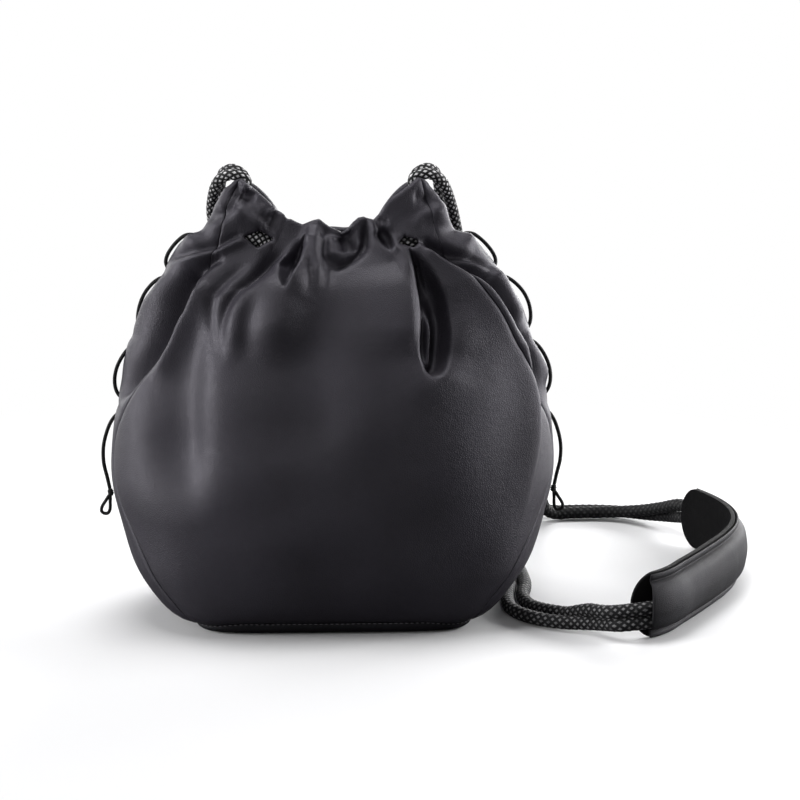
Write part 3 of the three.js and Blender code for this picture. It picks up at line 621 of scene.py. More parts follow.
def skinTable(s):
    rows = sectionRows(s)
    turn = np.linspace(0, 2 * pi, s["outlineSteps"] + 1)
    share = np.linspace(0, 1, s["turns"] + 1)
    levels = np.linspace(0, 1, s["levels"] + 1)
    points, rings, seams = [], [], []
    for level in levels:
        z, halfWidth, halfDepth, square, ear, shift, seam = sectionAt(rows, level)
        x, y = roundedOutline(turn, halfWidth, halfDepth, square)
        walked = np.concatenate([[0], np.cumsum(np.hypot(np.diff(x), np.diff(y)))])
        x, y = (np.interp(share * walked[-1], walked, side) for side in (x, y))
        climb = np.clip((np.abs(x) / halfWidth - s["earStart"]) / (1 - s["earStart"]), 0, 1)
        rise = 1 - (1 - climb) ** s["earFullness"]
        drop = s["backRimDrop"] * ear * (1 - rise) * (1 - np.cos(share * 2 * pi)) / 2
        points.append(np.stack([x + shift, y, z + s["earRise"] * ear * rise - drop], 1))
        rings.append(walked[-1])
        seams.append(seam)
    points = np.array(points) * mm
    wide = np.concatenate([points[:, -2:-1], points, points[:, 1:2]], 1)
    normals = unit(np.cross(wide[:, 2:] - wide[:, :-2], np.gradient(points, axis=0)))
    inEar = np.clip((levels - s["earSeamLow"]) / (1 - s["earSeamLow"]), 0, 1)
    seams = np.array(seams) + ease(inEar, s["earSeamShift"])
    lowLevels, paintedShadeLowShares = np.array(s["lowSeam"]).T
    seams = np.where(levels < lowLevels[-1], np.interp(levels, lowLevels, paintedShadeLowShares), seams)
    return points, normals, np.array(rings) * mm, evenOut(seams, s["seamEvening"]), pathLengths(points[:, 0])


skinPoints, skinNormals, ringLengths, seamShares, skinHeights = skinTable(bagShape)
skinLevels = np.linspace(0, 1, bagShape["levels"] + 1)


def skin(around, level):
    # points and outward normals on the bag, for shares of the way round and levels
    across = np.mod(around, 1) * bagShape["turns"]
    up = np.clip(level, 0, 1) * bagShape["levels"]
    i = np.minimum(up.astype(int), bagShape["levels"] - 1)
    j = np.minimum(across.astype(int), bagShape["turns"] - 1)
    p, q = (up - i)[..., None], (across - j)[..., None]
    found = []
    for table in (skinPoints, skinNormals):
        low = table[i, j] * (1 - q) + table[i, j + 1] * q
        high = table[i + 1, j] * (1 - q) + table[i + 1, j + 1] * q
        found.append(low * (1 - p) + high * p)
    return found[0], unit(found[1])


def flatPlace(place):
    # a place on the flat leather, in millimetres from the front's middle and up from the seam
    level = np.interp(place[1] * mm, skinHeights, skinLevels)
    return place[0] * mm / np.interp(level, skinLevels, ringLengths), level


def levelAt(height):
    return np.interp(height * mm, skinHeights, skinLevels)


def endDrop(points):
    share = np.clip((np.abs(points[..., 0]) - bagShape["dropStart"]) / bagShape["dropReach"], 0, 1)
    return ease(share, bagShape["endDrop"])


# a fold runs along a line on the leather and lifts or sinks a band beside it. height is its lift, width
# the band's reach to both sides or to each, and soft how soft its crest is. It starts with startPart of
# its height, is full between its two ends, and spread widens it along the way. A hollow sinks all that
# its closed line holds, and width is then the slope just inside the line
def foldLine(height, width, line, soft=0.35, ends=(0.15, 0.3), startPart=0.25, spread=(1, 1), hollow=False):
    widths = np.broadcast_to(width, 2) * mm
    return {"height": height * mm, "widths": widths, "line": line, "soft": soft * widths.mean(),
            "ends": ends, "startPart": startPart, "spread": spread, "hollow": hollow}


# folds of the front and of the sides seen with it
frontFolds = {
    "leftHemCrease": foldLine(-3.2, 1.8, [
        (-38.7, 186.8), (-43.1, 185), (-47.4, 183.1), (-51.6, 181.1), (-57.7, 179.5), (-63.6, 177.9),
        (-72.1, 176.2), (-86.8, 173.3)
    ], soft=0.2),
    "leftHemLip": foldLine(3.2, (2, 3), [
        (-38.3, 185), (-43.1, 183.6), (-47.4, 181.6), (-51.5, 179.5), (-57.6, 177.4), (-63.4, 176.2),
        (-71.6, 174.5), (-79.3, 172.1)
    ], soft=0.3),
    "leftSeamValley": foldLine(-9.5, (3.4, 5.2), [
        (-62, 172.1), (-67.7, 168.3), (-73.9, 160.9), (-80.4, 152.8), (-86.1, 144.4), (-91.6, 136.6),
        (-97.5, 128.2), (-104.9, 119.3), (-112.4, 110), (-122.4, 101.2)
    ], soft=0.4, startPart=0.2, ends=(0.15, 0.25), spread=(0.5, 1, 1.1, 1, 0.8)),
    "leftThinPleat": foldLine(1.5, 1.7, [
        (-69.7, 164.3), (-71.7, 160.2), (-73.7, 155.8), (-75.4, 152)
    ], soft=0.3),
    "leftThinGroove": foldLine(-2, (1.7, 1.8), [
        (-64.2, 165), (-68.2, 160.2), (-73.3, 152.8), (-76.7, 147.5)
    ], soft=0.3),
    "leftPanelEdge": foldLine(4.4, (6.5, 2.6), [
        (-59.3, 167.6), (-63.9, 161.6), (-68, 155.8), (-73.6, 148.2), (-77.4, 142.9), (-80.3, 136.6),
        (-85.3, 127.4), (-89.7, 121.1), (-95.2, 114.7)
    ], soft=0.25),
    "leftGussetRidge": foldLine(2.6, (5, 4), [
        (-79.3, 168.3), (-89.4, 159.4), (-101.9, 149.8), (-111.3, 139.7), (-118, 129.1), (-122.5, 119.3),
        (-123.7, 110.9)
    ], soft=0.5, ends=(0.2, 0.3)),
    "pocketEdge": foldLine(5, (10, 1.7), [
        (-8.9, 194.9), (-9.3, 190.9), (-11.3, 182.6), (-13.9, 175.7), (-16.7, 169.5), (-19.7, 163.6),
        (-22.4, 159.4)
    ], soft=0.2),
    "centreRidge": foldLine(2.8, (2.6, 3.4), [
        (-6.1, 194.9), (-5.8, 190.1), (-6.2, 183.1), (-5.6, 175.7), (-6.7, 167.6), (-9, 160.9)
    ], soft=0.4, ends=(0.15, 0.4)),
    "centreGroove": foldLine(-2.3, 2.2, [
        (-3.5, 194.9), (-2.3, 190.1), (-2.8, 184.1), (-2.7, 179), (-1.2, 173.9), (-2, 166.9), (-4.5, 160.2)
    ], soft=0.4, startPart=0, ends=(0.1, 0.5)),
    "tongue": foldLine(2.6, (4, 3), [(0.5, 192.1), (1.4, 187.2), (1.4, 182.1), (0.2, 177.9)], soft=0.5),
    "notch": foldLine(-3, 2, [(7.7, 194.9), (8, 190.9), (9.5, 186.4), (8.8, 182.6)], soft=0.4),
    "centreJ": foldLine(-4, (1.8, 2.2), [
        (17.3, 194.9), (17.4, 192.1), (16.4, 187.7), (13.5, 183.6), (9.5, 180.1), (5.3, 177.4), (1, 175.1),
        (-2, 175.7)
    ], soft=0.2),
    "rightPocket": foldLine(-5, (2.6, 2), [(22.8, 192.8), (25.6, 188.9), (28.4, 185.9), (31.1, 185)]),
    "rightPocketRim": foldLine(2.6, (2, 3.4), [
        (17, 194.9), (20, 193.4), (23.7, 188.5), (27.5, 185), (32.1, 182.6), (34.6, 178.5), (36.1, 172.7),
        (37.3, 165)
    ], ends=(0.1, 0.3)),
    "rightHemCrease": foldLine(-3, 1.6, [
        (41.1, 184.6), (47.7, 181.6), (55.4, 178.5), (62, 176.2), (69, 173.9), (76.4, 170.2), (83.2, 166.3)
    ], soft=0.2),
    "rightHemLip": foldLine(2, (1.6, 2), [
        (43.9, 181.6), (51.4, 177.9), (59.1, 174.5), (66.5, 172.7), (73.3, 170.2), (79.7, 166.3)
    ], soft=0.3),
    "rightGussetRidge": foldLine(3.6, 5, [
        (79.1, 168.3), (84.8, 162.3), (88.4, 154.3), (93.2, 145.9), (97.4, 139.7)
    ], soft=0.5),
    "rightGussetRidge2": foldLine(3.4, 5, [
        (97, 135.8), (105, 125.6), (113.6, 116.5), (122, 107.1)
    ], soft=0.5),
    "leftEarRidge": foldLine(-3, (2, 2.2), [
        (-42.5, 194.9), (-43.4, 193.4), (-43.4, 192.1), (-46.5, 190.1), (-52.1, 188.9), (-58.7, 187.7)
    ], soft=0.3, ends=(0.1, 0.2)),
    "leftEarGroove": foldLine(2, 2.6, [(-40.5, 194.9), (-39.8, 194.2)], soft=0.4, ends=(0.2, 0.2)),
    "leftEarCrease": foldLine(-2, 1.7, [
        (-42.4, 193.1), (-39.1, 193.4), (-35.8, 194.5), (-33.5, 194.9)
    ], soft=0.3, ends=(0.1, 0.2)),
    "leftSlotLineA": foldLine(1.6, (1.5, 1.8), [(-27.4, 194.9), (-27.3, 194.9), (-29.5, 192.8)], soft=0.3),
    "leftSlotLineB": foldLine(1.6, (1.5, 1.8), [(-27.4, 193.4), (-29.4, 191.7), (-31.9, 189.7)], soft=0.3),
    "leftRimPleat": foldLine(1.4, (2.2, 3), [
        (-31.2, 194.7), (-32.1, 193.1), (-33.6, 190.9), (-34.3, 189.3)
    ], soft=0.5, ends=(0.2, 0.3)),
    "leftRimDark": foldLine(-1.6, (2.6, 2.2), [
        (-26.2, 194.9), (-25.7, 194.9), (-27.7, 192.8), (-30.5, 190.1)
    ], soft=0.5, ends=(0.3, 0.3)),
    "rightEarRidge": foldLine(2, 3, [
        (48.8, 194.5), (51.8, 192.8), (54.2, 190.9), (55.7, 188.5), (57.3, 187.7), (65.2, 184.6),
        (71.4, 180.1), (74, 175.1)
    ], soft=0.4),
    "rightEarCrease": foldLine(-1.5, 1.8, [(39.2, 193.7), (42.7, 192.8), (47.5, 191.7)], soft=0.3),
    "rightRimCrease": foldLine(-1.6, 1.7, [
        (21.9, 194.9), (23.9, 194.2), (28.5, 191.3)
    ], soft=0.3, ends=(0.2, 0.4)),
    "rightRimCreaseB": foldLine(1.3, (1.5, 1.7), [
        (21.2, 194.9), (25.2, 192.4), (29, 190.1)
    ], soft=0.3, ends=(0.2, 0.4)),
    "rightEarDip": foldLine(-2, 4, [
        (42.4, 190.1), (48.3, 188.1), (55.4, 185.9), (63.6, 182.1), (69.9, 177.4)
    ], soft=0.6),
    "pleatHollow": foldLine(-9.5, 2.2, [
        (35.8, 183.1), (36.9, 176.8), (38, 166.3), (38.7, 156.5), (38.5, 147.5), (38.1, 138.2),
        (38.9, 129.9), (41.4, 123.8), (45.5, 121.1), (49.9, 122), (52.8, 126.5), (54.5, 134.1),
        (54.9, 143.6), (54.4, 152.8), (53.1, 160.9), (50, 168.9), (45.7, 175.7), (40.9, 180.6),
        (35.8, 183.1)
    ], spread=(1.2, 0.8, 0.9, 1.1, 1, 1.6, 3), hollow=True),
    "pleatInnerRidge": foldLine(6.6, 1.9, [
        (41.8, 162.3), (43, 152.8), (43.9, 144.4), (44, 135.8), (43.7, 129.1), (43.6, 124.7)
    ], soft=0.2, startPart=0, ends=(0.5, 0.1)),
    "pleatRim": foldLine(2.4, (3.4, 8), [
        (36.4, 130.8), (39.1, 122.9), (45, 118.4), (50.8, 120.2), (54.4, 125.6), (56.1, 133.3),
        (56.4, 142.9), (56.2, 152)
    ], soft=0.7, ends=(0.25, 0.35)),
    "rightSoftRidge": foldLine(0.9, 6, [
        (59.5, 156.5), (59.8, 146.7), (61.6, 137.4), (64.9, 128.2)
    ], soft=0.8, ends=(0.4, 0.4)),
    "pocketHollow": foldLine(-6.5, 2, [
        (-10.2, 193.1), (-13.3, 191.7), (-17.6, 188.1), (-22.5, 181.1), (-25.1, 173.9), (-24.3, 165.6),
        (-22, 161.6), (-18.9, 165), (-14.5, 173.9), (-12.2, 181.6), (-10.7, 189.3), (-10.2, 193.1)
    ], spread=(1.6, 2.2, 2.2, 1.2, 0.8, 0.8, 0.8), hollow=True),
    "centreBroadValley": foldLine(-3.4, (10, 16), [
        (-19.9, 149.8), (-15.9, 137.4), (-12.4, 125.6), (-10.3, 112.8), (-9.1, 99.2), (-9.1, 85),
        (-10.6, 71.5)
    ], soft=0.9, ends=(0.3, 0.4)),
    "leftHemCrest": foldLine(5.4, (5, 7.5), [
        (-71.7, 178.5), (-65.6, 182.1), (-59.4, 185), (-53.5, 187.2), (-47.6, 189.3), (-42, 191.3),
        (-37.4, 193.4)
    ], soft=0.4, startPart=0.3, ends=(0.2, 0.15)),
    "rightHemCrest": foldLine(4.4, (7.5, 5), [
        (70.8, 179), (64.4, 182.1), (58.4, 184.6), (53.4, 187.2), (49.4, 189.7), (46.8, 191.7)
    ], soft=0.4, startPart=0.3, ends=(0.2, 0.15)),
    "leftUnderLip": foldLine(-4, (2.2, 1.8), [
        (-49.6, 178.5), (-54.6, 176.2), (-59.3, 173.9), (-63.6, 171.4), (-68.1, 168.3), (-71, 165)
    ], soft=0.3, ends=(0.2, 0.2)),
    "leftBroadCrest": foldLine(0.4, (6, 9), [
        (-60.1, 163.6), (-59.6, 157.3), (-60, 149.8), (-60.2, 142.1), (-59.1, 135.8), (-56.7, 129.1),
        (-53.3, 121.1), (-49.5, 113.7)
    ], soft=0.9, ends=(0.25, 0.6)),
    "leftValleyB": foldLine(-2.2, (2.2, 2.6), [
        (-38.2, 176.2), (-42.2, 173.3), (-46.7, 170.2), (-50.9, 166.3), (-54.8, 162.3), (-57.5, 156.5),
        (-58.7, 149.8), (-58.4, 142.9), (-56.8, 135.8), (-54.6, 130.8), (-52.3, 125.6)
    ], soft=0.3, ends=(0.15, 0.5)),
    "leftValleyD": foldLine(-4.4, (2.4, 2.6), [
        (-19.2, 185.5), (-24.5, 181.1), (-30.4, 175.1), (-35.9, 168.9), (-41.7, 164.3), (-46.1, 160.2),
        (-50, 154.3), (-52.2, 149), (-53.1, 142.9), (-53, 137.4), (-51.8, 130.8), (-49.9, 126.5)
    ], soft=0.3, ends=(0.15, 0.5)),
    "leftFingerA": foldLine(3.7, (3.4, 6.5), [
        (-37.3, 163.6), (-40.4, 159.4), (-43, 154.3), (-44.9, 149), (-45.9, 143.6), (-46.4, 137.4),
        (-46.7, 130.8), (-46.1, 125.6)
    ], soft=0.55, ends=(0.3, 0.5)),
    "leftValleyE": foldLine(-2, (4.5, 3.4), [
        (-37.6, 160.2), (-39.7, 155), (-40.9, 150.5), (-42.2, 143.6), (-42.7, 138.2), (-43.5, 131.6),
        (-43.7, 126.5)
    ], soft=0.8, ends=(0.3, 0.6)),
    "leftFingerB": foldLine(6.6, (9, 13), [
        (-24.7, 175.7), (-23.6, 169.5), (-23.9, 162.9), (-25.3, 156.5), (-27.5, 149), (-29.9, 142.1),
        (-32.3, 134.9), (-34.8, 129.1), (-37, 123.8)
    ], soft=0.7, ends=(0.3, 0.5)),
    "pocketRay": foldLine(1.6, (1.5, 1.7), [
        (-10.1, 192.1), (-14.6, 186.8), (-19.4, 182.1), (-24.7, 177.9), (-29, 175.1)
    ], soft=0.3),
    "pocketRayGroove": foldLine(-1.8, 1.5, [
        (-10.8, 188.5), (-15.5, 183.1), (-20.4, 179), (-25.2, 175.1)
    ], soft=0.3),
    "centreJInner": foldLine(1.8, (1.6, 1.8), [
        (14.9, 190.1), (12.7, 185.5), (9.2, 182.1), (5.7, 179), (1.8, 177.9)
    ], soft=0.3),
    "centreHollow": foldLine(-4.4, (3.6, 2.8), [
        (5.6, 192.1), (6.9, 188.5), (8, 185), (8.4, 182.6)
    ], soft=0.4),
    "centreSmallGroove": foldLine(-1.5, 1.8, [
        (-9.5, 179), (-9.6, 171.4), (-10.6, 165), (-12.7, 158.7)
    ], soft=0.4, ends=(0.3, 0.4)),
    "leftBroadValley": foldLine(-7.6, (7, 15), [
        (-63.4, 160.2), (-66.6, 153.5), (-69.4, 145.9), (-70.9, 137.4), (-72, 128.2), (-72.3, 116.5),
        (-72.4, 105.1), (-72.2, 92.1), (-71.5, 77.7), (-70.5, 64.3), (-69.5, 49.8)
    ], soft=0.8, ends=(0.25, 0.4)),
    "rightPanelLip": foldLine(3.8, (2, 8), [
        (36.9, 185.5), (40.6, 183.1), (44.2, 180.6), (47.9, 177.4), (55.1, 172.7), (60.5, 169.5),
        (65.4, 166.9), (69.9, 164.3), (73.5, 160.9), (78.4, 153.5), (84.8, 144.4), (91.4, 134.9),
        (95.5, 125.6), (98.9, 115.6), (101.1, 105.1), (101.2, 95.2), (99.9, 81.9), (96.9, 68.4), (93, 53.8),
        (87.3, 40.4)
    ], soft=0.22, ends=(0.08, 0.4), spread=(0.8, 1, 1, 1.1)),
    "rightPanelValley": foldLine(-5.4, (3, 2), [
        (41.1, 183.6), (47.6, 180.6), (54.2, 176.8), (59.9, 173.3), (66, 169.5), (71.2, 166.3),
        (76.1, 162.3), (81.4, 156.5), (85.8, 149), (90.7, 141.3), (96.1, 134.1), (100.8, 123.8),
        (104.8, 113.7), (108.6, 104.1), (110.6, 94.1)
    ], soft=0.3, spread=(0.7, 1, 1.2, 1.3)),
    "leftEarLobe": foldLine(2.6, (4.5, 4), [
        (-48.4, 194.9), (-49.2, 193.1), (-50.3, 190.9), (-51.3, 189.3)
    ], soft=0.5, ends=(0.2, 0.2)),
    "pleatLeftRidge": foldLine(2.8, (2.6, 15), [
        (32.2, 177.9), (33.5, 166.9), (34.2, 157.3), (34.5, 145.9), (34.3, 136.6), (35, 130.8)
    ], soft=0.4, ends=(0.3, 0.3)),
    "pleatRightSlope": foldLine(-3.4, (13, 3), [
        (46.9, 162.3), (50.2, 151.3), (51.3, 140.5), (50.4, 129.9), (47.7, 121.1)
    ], soft=0.6, ends=(0.3, 0.35)),
}


# the back's gathers, measured from the back's middle; the ropes lie over it, so it mostly sinks
backFolds = {
    "gatherA": foldLine(-5, 4, [(-50, 186), (-56, 172), (-66, 152), (-74, 128)]),
    "gatherB": foldLine(-7, (4.5, 4), [(-36, 189), (-40, 172), (-46, 150), (-50, 126), (-52, 104)]),
    "gatherBEdge": foldLine(2.6, (4, 6), [(-41, 184), (-46, 168), (-53, 148), (-58, 126)]),
    "gatherC": foldLine(-4.5, (3.2, 3.6), [(-22, 192), (-23, 176), (-27, 158), (-30, 136)]),
    "gatherCEdge": foldLine(3, (4, 5), [(-28, 188), (-31, 172), (-36, 154), (-40, 136), (-42, 112)]),
    "gatherD": foldLine(-6.5, (4, 3.4), [(-8, 193), (-8, 178), (-10, 160), (-10, 140), (-8, 116)]),
    "gatherDEdge": foldLine(2.6, 4, [(-14, 190), (-16, 172), (-19, 152), (-21, 128)]),
    "gatherE": foldLine(-4.5, 3.2, [(6, 193), (7, 176), (9, 158), (14, 136)]),
    "gatherF": foldLine(-6.5, (3.6, 4.4), [(18, 192), (21, 176), (26, 156), (33, 134), (38, 108)]),
    "gatherG": foldLine(-5, (3.6, 3.4), [(31, 189), (36, 173), (43, 155), (53, 132)]),
    "gatherH": foldLine(-6, (4.4, 4.6), [(45, 187), (52, 172), (62, 152), (71, 130), (76, 104)]),
    "hemCrease": foldLine(-1.8, 1.6, [
        (-66, 178), (-45, 181), (-25, 180), (0, 181), (25, 180), (45, 181), (66, 178)
    ], soft=0.2, ends=(0.05, 0.05)),
    "seamValleyA": foldLine(-5, 5, [(-68, 174), (-83, 150), (-98, 126), (-108, 100)]),
    "seamValleyB": foldLine(-5, 5, [(68, 174), (83, 150), (98, 126), (108, 100)]),
}
# each side, measured from its lace: the ear's tuck, and puckers where the lace draws the leather in
sideFolds = {
    "earTuck": foldLine(-6, 5.5, [(0, 194.8), (0, 190), (0, 185), (0, 179)], startPart=1, ends=(0.02, 0.5)),
    "earWaist": foldLine(-4.5, (6, 3.4), [
        (-22, 184.5), (-12, 185.5), (0, 186), (12, 185.5), (22, 184.5)
    ], ends=(0.3, 0.3)),
    "puckerA": foldLine(-0.7, (3, 2.4), [(-15, 167.6), (0, 165.6), (16, 166.6)], ends=(0.4, 0.4)),
    "puckerB": foldLine(-0.8, (3, 2.4), [(-19, 130.2), (0, 132.2), (17, 134.2)], ends=(0.4, 0.4)),
    "puckerC": foldLine(-0.9, (3.2, 2.6), [(-17, 100.2), (0, 98.2), (20, 97.2)], ends=(0.4, 0.4)),
    "swellA": foldLine(0.9, 6, [(-13, 149), (0, 149), (13, 149)], ends=(0.4, 0.4)),
    "swellB": foldLine(0.9, 7, [(-14, 116.3), (0, 116.3), (14, 116.3)], ends=(0.4, 0.4)),
}
# how deep the leather may sink, in millimetres by level, and the share of what is deeper that it keeps
deepest = {"level": (0.84, 0.9), "depth": (12, 2.2), "beyond": 0.35}


def leatherPush(points, normals, level):
    # the doubled leather of the hem folds less deeply than the single leather below it
    push = foldPush(points, normals, frontFolds) + foldPush(points, normals, backFolds, 0.5)
    limit = np.interp(level, deepest["level"], deepest["depth"]) * mm
    push = np.where(push < -limit, -limit + deepest["beyond"] * (push + limit), push)
    return push + foldPush(points, normals, sideFolds, 0.25) + foldPush(points, normals, sideFolds, 0.75)


def foldPush(points, normals, folds, turn=0.0, spacing=0.0025, farthest=4.5):
    # spacing is the steps of each fold's line, and a fold's push ends at farthest widths from it
    push = np.zeros(points.shape[:-1])
    for fold in folds.values():
        around, level = np.array([flatPlace(place) for place in fold["line"]]).T
        line = smoothPath(skin(around + turn, level)[0], spacing)
        reach = farthest * fold["widths"].max()
        near = np.all((points > line.min(0) - reach) & (points < line.max(0) + reach), axis=-1)
        if not near.any():
            continue
        steps = np.diff(line, axis=0)
        offsets = points[near][:, None] - line[:-1]
        share = np.clip((offsets * steps).sum(-1) / (steps**2).sum(-1), 0, 1)
        offsets = offsets - share[..., None] * steps
        distances = (offsets**2).sum(-1)
        best = distances.argmin(1)
        rows = np.arange(len(best))
        distance = np.sqrt(distances[rows, best])
        turning = (np.cross(steps[best], offsets[rows, best]) * normals[near]).sum(-1)
        along = (best + share[rows, best]) / len(steps)
        spread = np.interp(along, np.linspace(0, 1, len(fold["spread"])), fold["spread"])
        width = np.where(turning > 0, *fold["widths"]) * spread
        if fold["hollow"]:
            # what lies nearest to the corner where the line closes is outside
            strength = ((turning > 0) & (along > 0) & (along < 1)).astype(float)
            shape = 1 - np.exp(-(distance / width) ** 2)
        else:
            first, last = fold["ends"]
            strength = ease(np.interp(along, (0, first, 1 - last, 1), (fold["startPart"], 1, 1, 0)))
            fall = (np.hypot(distance, fold["soft"]) - fold["soft"]) / width * (0.6 + 0.4 * distance / width)
            shape = np.exp(-fall)
        push[near] += fold["height"] * strength * shape
    return push


def waves(points, s, sizes=(0.7, 1.5)):
    # a smooth wobble made of a few crossing sine waves, each of the settings' size times one of sizes
    random = np.random.default_rng(s["seed"])
    total = np.zeros(points.shape[:-1])
    for _ in range(s["count"]):
        direction = random.normal(size=3)
        direction *= 2 * pi / (s["size"] * mm * random.uniform(*sizes)) / np.linalg.norm(direction)
        total += np.sin(points @ direction + random.uniform(0, 2 * pi))
    return total * s["height"] * mm / s["count"] ** 0.5


# height of the rim above the plain outline, by share of the way round
rimLifts = {
    "around": (-0.31, -0.28, -0.25, -0.22, -0.19, -0.168, -0.144, -0.12, -0.108, -0.096, -0.084, -0.072,
               -0.06, -0.048, -0.036, -0.024, -0.012, 0, 0.012, 0.024, 0.036, 0.048,
               0.06, 0.072, 0.084, 0.096, 0.12, 0.144, 0.168, 0.19, 0.22, 0.25, 0.28, 0.31),
    "lift": (0.5, -1, -4.2, -0.3, 3.2, 1.4, 0.8, 1.2, 2.6, 4.7, 4.5, 3,
             1.8, 2.5, 3.3, 3.8, 1.9, 0, -1, -2, -0.4, 2.5,
             4.7, 5.3, 3.9, 3.2, 3.1, 1.5, 1.4, 3.2, -0.3, -4.2, -1, 0.5),
    # the level that it starts from, how far up it grows, and how late
    "from": 0.93,
    "reach": 0.07,
    "curve": 1.5,
}
drawcordRoute = {
    "around": (-0.18, -0.178, -0.168, -0.14, -0.105, -0.06, 0, 0.06, 0.105, 0.14, 0.168, 0.178, 0.18),
    "level": (0.985, 0.962, 0.925, 0.915, 0.928, 0.938, 0.945, 0.938, 0.926, 0.91, 0.925, 0.962, 0.985),
    "depth": (6.95, 6.95, 6.6, 4.7, 4.7, 6.4, 6.95, 6.4, 5, 4.9, 6.6, 6.95, 6.95),
    # metres to one unit of each row above, which makes the steps along the route even
    "scale": (0.25, 0.19, mm),
    "step": 0.001,
    "highestPush": 0.001,
    "windowSwell": 0.3,
    "windowReach": 0.0078,
    # the rope keeps to the deepest folds at these steps of level, and over steps along itself
    "levelSteps": (-0.016, 0, 0.016),
    "deepestSteps": 3,
    "eveningSteps": 4,
}
shellSettings = {
    "thickness": 1.3,
    "rimRadius": 1.8,
    "rimSteps": 6,
    "hemFoot": 0.84,
    "hemRows": 26,
    "hemDepth": 3.7,
    "hemBulge": 9.8,
    "hemBulgeReach": 5.7,
    # in levels: the inner layer leaves the roll of the rim, and it keeps its own folds near its foot
    "rimBlend": 0.03,
    "footBlend": 0.05,
    "lowestReach": 4,
    "lipReach": 8,
    "lipHeight": 0.6,
    "seamGap": 0.00008,
    "slopeStep": 0.004,
    "edgeTurn": 1.1,
    "edgeFade": ((0.8, 0.85, 0.93, 0.97), (1, 0.3, 0.3, 0.8)),
    "footTurn": 0.35,
    "edgeReach": 1.1,
    "dropFade": 9,
    "columnCrowding": 0.7,
    "rowCrowding": 1.25,
    "wobble": {"seed": 4, "count": 9, "size": 46, "height": 0.5},
    "wobbleFade": ((0, 0.08, 0.85, 0.95), (0, 1, 1, 0.3)),
}
windows = {
    "front": [[(-39.3, 185.9), (-32.4, 189.3), (-25.9, 189.3), (-33.5, 183.6)],
              [(31.5, 185.6), (34.8, 186.9), (42, 183.9), (39, 182)]],
    "back": [[(-40, 185.6), (-33, 188.9), (-27, 188.7), (-34, 184.2)],
             [(27, 188.7), (33, 188.9), (40, 185.6), (34, 184.2)]],
}


def nearestOnLine(points, line):
    # for each point the nearest place on a line of straight steps, and how far off it is
    best, nearest = np.full(points.shape[:-1], np.inf), np.zeros_like(points)
    for start, step in zip(line[:-1], np.diff(line, axis=0)):
        share = np.clip(((points - start) @ step) / (step @ step), 0, 1)
        place = start + share[..., None] * step
        distance = np.linalg.norm(points - place, axis=-1)
        nearest = np.where((distance < best)[..., None], place, nearest)
        best = np.minimum(best, distance)
    return nearest, best


def hemDepths(points, turn):
    # the inner layer bulges in around the rope
    s = shellSettings
    around, level = (np.array(drawcordRoute[key]) for key in ("around", "level"))
    line = smoothPath(skin(around + turn, level)[0], 0.004)
    distance = nearestOnLine(points, line)[1] / (s["hemBulgeReach"] * mm)
    return (s["hemDepth"] + s["hemBulge"] * np.exp(-distance**3)) * mm


def lowestNear(values, reach):
    # the lowest value up to reach steps away, along both axes
    low = values
    for axis in (0, 1):
        wide = np.pad(low, [(reach, reach) if k == axis else (0, 0) for k in (0, 1)], mode="edge")
        moved = [np.take(wide, range(k, k + low.shape[axis]), axis) for k in range(2 * reach + 1)]
        low = np.min(moved, axis=0)
    return low


def inPolygon(places, polygon):
    inside = np.zeros(places.shape[:-1], bool)
    for (x0, y0), (x1, y1) in zip(polygon, polygon[1:] + polygon[:1]):
        crosses = (places[..., 1] > y0) != (places[..., 1] > y1)
        rise = y1 - y0 if y1 != y0 else 1e-9
        inside ^= crosses & (places[..., 0] < x0 + (places[..., 1] - y0) * (x1 - x0) / rise)
    return inside


def sumOfFour(table):
    return table[:-1, :-1] + table[1:, :-1] + table[:-1, 1:] + table[1:, 1:]


def cutWindows(flat, polygons, outerRows):
    # marks the faces inside each window, draws the corners beside them to its edge and lifts a lip there
    s = shellSettings
    holes = np.zeros((flat.shape[0] - 1, flat.shape[1] - 1), bool)
    lip = np.zeros(flat.shape[:2])
    for polygon in polygons:
        inside = inPolygon(sumOfFour(flat) / 4, polygon)
        inside[outerRows:] = False
        holes |= inside
        touching = sumOfFour(np.pad(inside, 1).astype(int))
        nearest, distance = nearestOnLine(flat, np.array(polygon + polygon[:1]))
        snap = (touching > 0) & (touching < 4)
        flat = np.where(snap[..., None], nearest, flat)
        distance = np.where(snap, 0, distance)
        lip += np.where(distance < s["lipReach"], s["lipHeight"] * distance * np.exp(1 - distance), 0) * mm
    return flat, holes, lip


